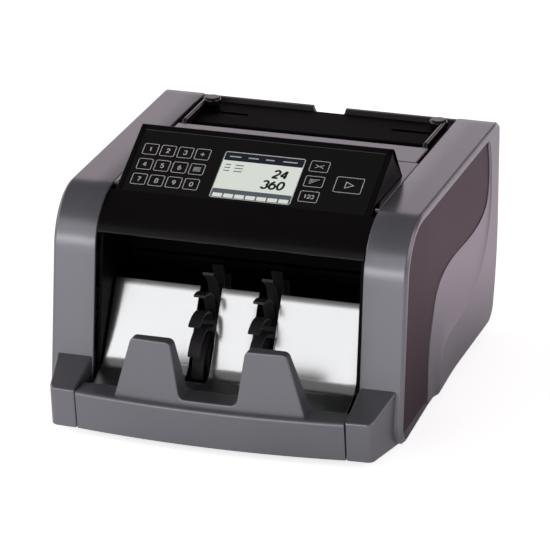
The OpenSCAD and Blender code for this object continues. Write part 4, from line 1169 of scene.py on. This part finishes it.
LCD_PALE = moulded("pale display field", (206, 214, 205), (214, 221, 212), (0.18, 0.26), relief=0.0)
pale = LCD_PALE.node_tree.nodes["Principled BSDF"]
pale.inputs["Emission Color"].default_value = paint(206, 214, 205)
pale.inputs["Emission Strength"].default_value = 0.55
LCD_DARK = moulded("dark display strip", (34, 40, 52), (40, 46, 58), (0.18, 0.26), relief=0.0)
LCD_BLUE = moulded("blue grey display strip", (108, 118, 128), (118, 128, 138), (0.18, 0.26), relief=0.0)
LCD_INK = moulded("display numerals", (22, 24, 26), (28, 30, 32), (0.3, 0.4), relief=0.0)
field = [sheet_of(box_line(LCD_X, LCD_V, LCD_W - 1.0, LCD_H - 1.0, 1.6))]
head_v, foot_v = LCD_V + LCD_H / 2 - 4.4, LCD_V - LCD_H / 2 + 4.6
head = [sheet_of(box_line(LCD_X, head_v, LCD_W - 1.2, 7.6, 1.2))]
foot_strip = [sheet_of(box_line(LCD_X, foot_v, LCD_W - 1.2, 8.0, 1.2))]
cells_x = LCD_X + (np.arange(7) - 3) * 7.6
boxes = [sheet_of(box_line(x, foot_v - 1.8, 6.6, 3.4, 0.3)) for x in cells_x]
dashes = [ribbon([(LCD_X + x, head_v), (LCD_X + x + w, head_v)], 1.1)
          for x, w in ((-24, 8), (-11, 7), (1, 6), (13, 10))]
small = [ribbon([(LCD_X + x, LCD_V + v), (LCD_X + x + w, LCD_V + v)], 0.7)
         for v in (9.5, 6.7, 3.9) for x, w in ((-25, 4), (-18, 6))]
numerals = [q for count, x, v in (("24", 14, 5.0), ("360", 11.4, -5.2))
            for q in written(count, LCD_X + x, LCD_V + v, 6.9, 1.65, 0.14)]
frame_ring = [ribbon(box_line(LCD_X, LCD_V, LCD_W - 0.4, LCD_H - 0.4, 1.8), 0.45, closed=True)]
for name, parts, n, finish in (
        ("display_field", field, 0.02, LCD_PALE), ("display_heading", head, 0.04, LCD_DARK),
        ("display_foot_strip", foot_strip, 0.04, LCD_BLUE), ("display_boxes", boxes, 0.06, LCD_PALE),
        ("display_dashes", dashes, 0.06, PRINT_WHITE), ("display_small_lines", small, 0.04, LCD_INK),
        ("display_numerals", numerals, 0.04, LCD_INK), ("display_frame_line", frame_ring, 0.06, PRINT_WHITE)):
    dress(name, lift(parts, GLASS_N + n), finish, merge=False)

# %% [markdown]
# ## Finishes for the works inside
# The boards, frames, shafts, belts and the mains inlet sit inside or at the rear, where the solids of
# the CAD model are shape enough. They keep their meshes, and only the material is changed.

# %% Finish the CAD nodes
NODE_FINISH = {
    "panel_overlay": OVERLAY_BLACK, "display_module": LCD_PALE, "display_board": BOARD_GREEN,
    "base_tray": BAR_GREY, "hopper_tray": INNER_BLACK, "rear_door": BASE_GREY, "left_frame": FRAME_BLACK,
    "right_frame": FRAME_BLACK, "bearings": BUSH_BRONZE, "stacker_shaft": SHAFT_STEEL,
    "stacker_pulley": PULLEY_WHITE, "feed_shaft": SHAFT_STEEL, "feed_pulley": PULLEY_WHITE,
    "pickup_shaft": PULLEY_WHITE, "drive_shaft": SHAFT_STEEL, "drive_pulley": PULLEY_WHITE,
    "pinch_rollers": PINCH_GREY, "separator_rollers": SEPARATOR_RED, "inner_wall": INNER_BLACK,
    "upper_guide": INNER_BLACK, "motor": MOTOR_CAN, "motor_pulley": PULLEY_WHITE, "drive_belts": RUBBER,
    "main_board": BOARD_GREEN, "power_supply": MOTOR_CAN, "power_inlet": INLET_BLACK,
    "power_switch": INLET_BLACK, "screws": SCREW_STEEL,
}
NODE_FINISH.update({n: KEY_BLACK for n in NODES if n.startswith("key_")})
for node, finish in NODE_FINISH.items():
    mesh = NODES[node].data
    mesh.materials.clear()
    mesh.materials.append(finish)
print(len(NODE_FINISH), "CAD nodes finished")

# %% [markdown]
# ## The floor
# A plain pale floor fills the picture and is mirrored in the satin covers. In a studio, cards laid
# beside the set shade or tint such reflections. Here the floor does the same: what the camera sees
# is plain, but light that comes back from it is darker close to the machine's right side and a
# little rosy behind it. Two soft ellipses on Object coordinates say where.

# %% Floor
FLOOR = 9.0  # half size, m
SHADE_AT, SHADE_R = (0.065, 0.03, 0.0), (0.19, 0.27, 1.0)  # middle and radii of the shade, m
GLOW_AT, GLOW_R = (0.30, 0.25, 0.0), (0.32, 0.36, 1.0)  # middle and radii of the glow, m
GLOW = (0.68, 0.47, 0.61, 1)
floor_mesh = bpy.data.meshes.new("studio_floor")
floor_mesh.from_pydata([(-FLOOR, -FLOOR, 0), (FLOOR, -FLOOR, 0), (FLOOR, FLOOR, 0), (-FLOOR, FLOOR, 0)],
                       [], [(0, 1, 2, 3)])
FLOOR_WHITE, floor_tree, floor_shader = start_material("pale floor")
floor_place = floor_tree.nodes.new("ShaderNodeTexCoord").outputs["Object"]


def pool(at, radii):
    """A mask on the floor: one at a place, falling evenly to nought at the edge of an ellipse."""
    spot = floor_tree.nodes.new("ShaderNodeMapping")
    spot.inputs["Location"].default_value = [-c / r for c, r in zip(at, radii)]
    spot.inputs["Scale"].default_value = [1 / r for r in radii]
    floor_tree.links.new(floor_place, spot.inputs["Vector"])
    fall = floor_tree.nodes.new("ShaderNodeTexGradient")
    fall.gradient_type = "SPHERICAL"
    floor_tree.links.new(spot.outputs["Vector"], fall.inputs["Vector"])
    return fall.outputs["Fac"]


def grey(level):
    """A linear grey as a colour."""
    return (level, level, level, 1)


seen = floor_tree.nodes.new("ShaderNodeLightPath").outputs["Is Camera Ray"]
shade, glow = pool(SHADE_AT, SHADE_R), pool(GLOW_AT, GLOW_R)
shaded = blend(floor_tree, shade, grey(0.96), grey(0.3))
glowing = blend(floor_tree, shade, blend(floor_tree, glow, grey(0.35), GLOW), grey(0.0))
for key, back, plain in (("Base Color", shaded, 0.96), ("Emission Color", glowing, 0.75)):
    floor_tree.links.new(blend(floor_tree, seen, back, grey(plain)), floor_shader.inputs[key])
floor_shader.inputs["Roughness"].default_value = 0.9
floor_shader.inputs["Emission Strength"].default_value = 1.0
floor_mesh.materials.append(FLOOR_WHITE)
studio_floor = bpy.data.objects.new("studio_floor", floor_mesh)
bpy.context.scene.collection.objects.link(studio_floor)
studio_floor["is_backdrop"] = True
print("floor", 2 * FLOOR, "m square")

# %% [markdown]
# ## The lights
# Catalogue pictures are lit with large softboxes, because a satin surface shows the lamp's size as the
# softness of its highlight. One stands high in front and a low strip below it draws the bright band
# under the bend of the side covers. Two behind lift the top faces, and one on each side fills in.
# All but the front ones are a little warm, which brings the greys near those of the photograph.

# %% Lights


def softbox(name, at, size, watts, tint=(1, 1, 1)):
    """A rectangular area light at a place, turned to face the machine."""
    light = bpy.data.lights.new(name, "AREA")
    light.shape, light.size, light.size_y = "RECTANGLE", size[0], size[1]
    light.energy, light.color = watts, tint
    lamp = bpy.data.objects.new(name, light)
    lamp.location = at
    lamp.rotation_euler = (Vector((0, 0, 0.1)) - Vector(at)).to_track_quat("-Z", "Y").to_euler()
    bpy.context.scene.collection.objects.link(lamp)


WARM = (1.0, 0.86, 0.93)
softbox("front softbox", (-1.0, -4.2, 2.4), (5.0, 2.2), 32)
softbox("low front strip", (-1.2, -4.4, 0.45), (5.0, 0.8), 54)
softbox("rear softbox", (-1.9, 2.8, 1.0), (4.0, 1.7), 20, WARM)
softbox("rear right softbox", (1.2, 2.9, 0.42), (1.8, 0.8), 8, WARM)
softbox("left softbox", (-2.6, -0.2, 1.3), (2.4, 1.8), 26, WARM)
softbox("right softbox", (2.6, 0.2, 1.3), (2.4, 1.8), 17, WARM)
world = bpy.data.worlds.new("studio air")
world.use_nodes = True
world.node_tree.nodes["Background"].inputs["Color"].default_value = (1, 1, 1, 1)
world.node_tree.nodes["Background"].inputs["Strength"].default_value = 0.12
bpy.context.scene.world = world
bpy.context.scene.view_settings.view_transform = "Standard"
print(len(bpy.data.lights), "softboxes")

# %% [markdown]
# ## The camera
# The camera was fitted to the straight edges of the machine in the photograph: from its front right,
# three metres off and with a long lens, so that the sides converge only a little.

# %% Camera
FIT_SHIFT = Vector((0, BODY_TO_TABLE[1] + 134, 0)) / 1000  # from the middle used in the fit
EYE = Vector((0.85607, -2.75900, 1.16358)) + FIT_SHIFT
LOOK_AT = Vector((0.020806, -0.059562, 0.097863)) + FIT_SHIFT
LENS_MM, ROLL = 299.0, np.radians(0.134)
camera_data = bpy.data.cameras.new("bench camera")
camera_data.lens = LENS_MM
camera = bpy.data.objects.new("bench camera", camera_data)
camera.location = EYE
turn = (LOOK_AT - EYE).to_track_quat("-Z", "Y") @ Quaternion((0, 0, 1), ROLL)
camera.rotation_euler = turn.to_euler()
bpy.context.scene.collection.objects.link(camera)
bpy.context.scene.camera = camera
print("camera", round((LOOK_AT - EYE).length, 2), "m from the machine")

# %% [markdown]
# ## Sizes
# The dressed machine has to stay inside the box of its solids, because the solids are what the
# simulation moves and lets touch. So both boxes are measured and written down.

# %% Boxes and finish
bpy.context.view_layer.update()
low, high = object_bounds()
print("dressed box, mm:", [round((b - a) * 1000, 1) for a, b in zip(low, high)])
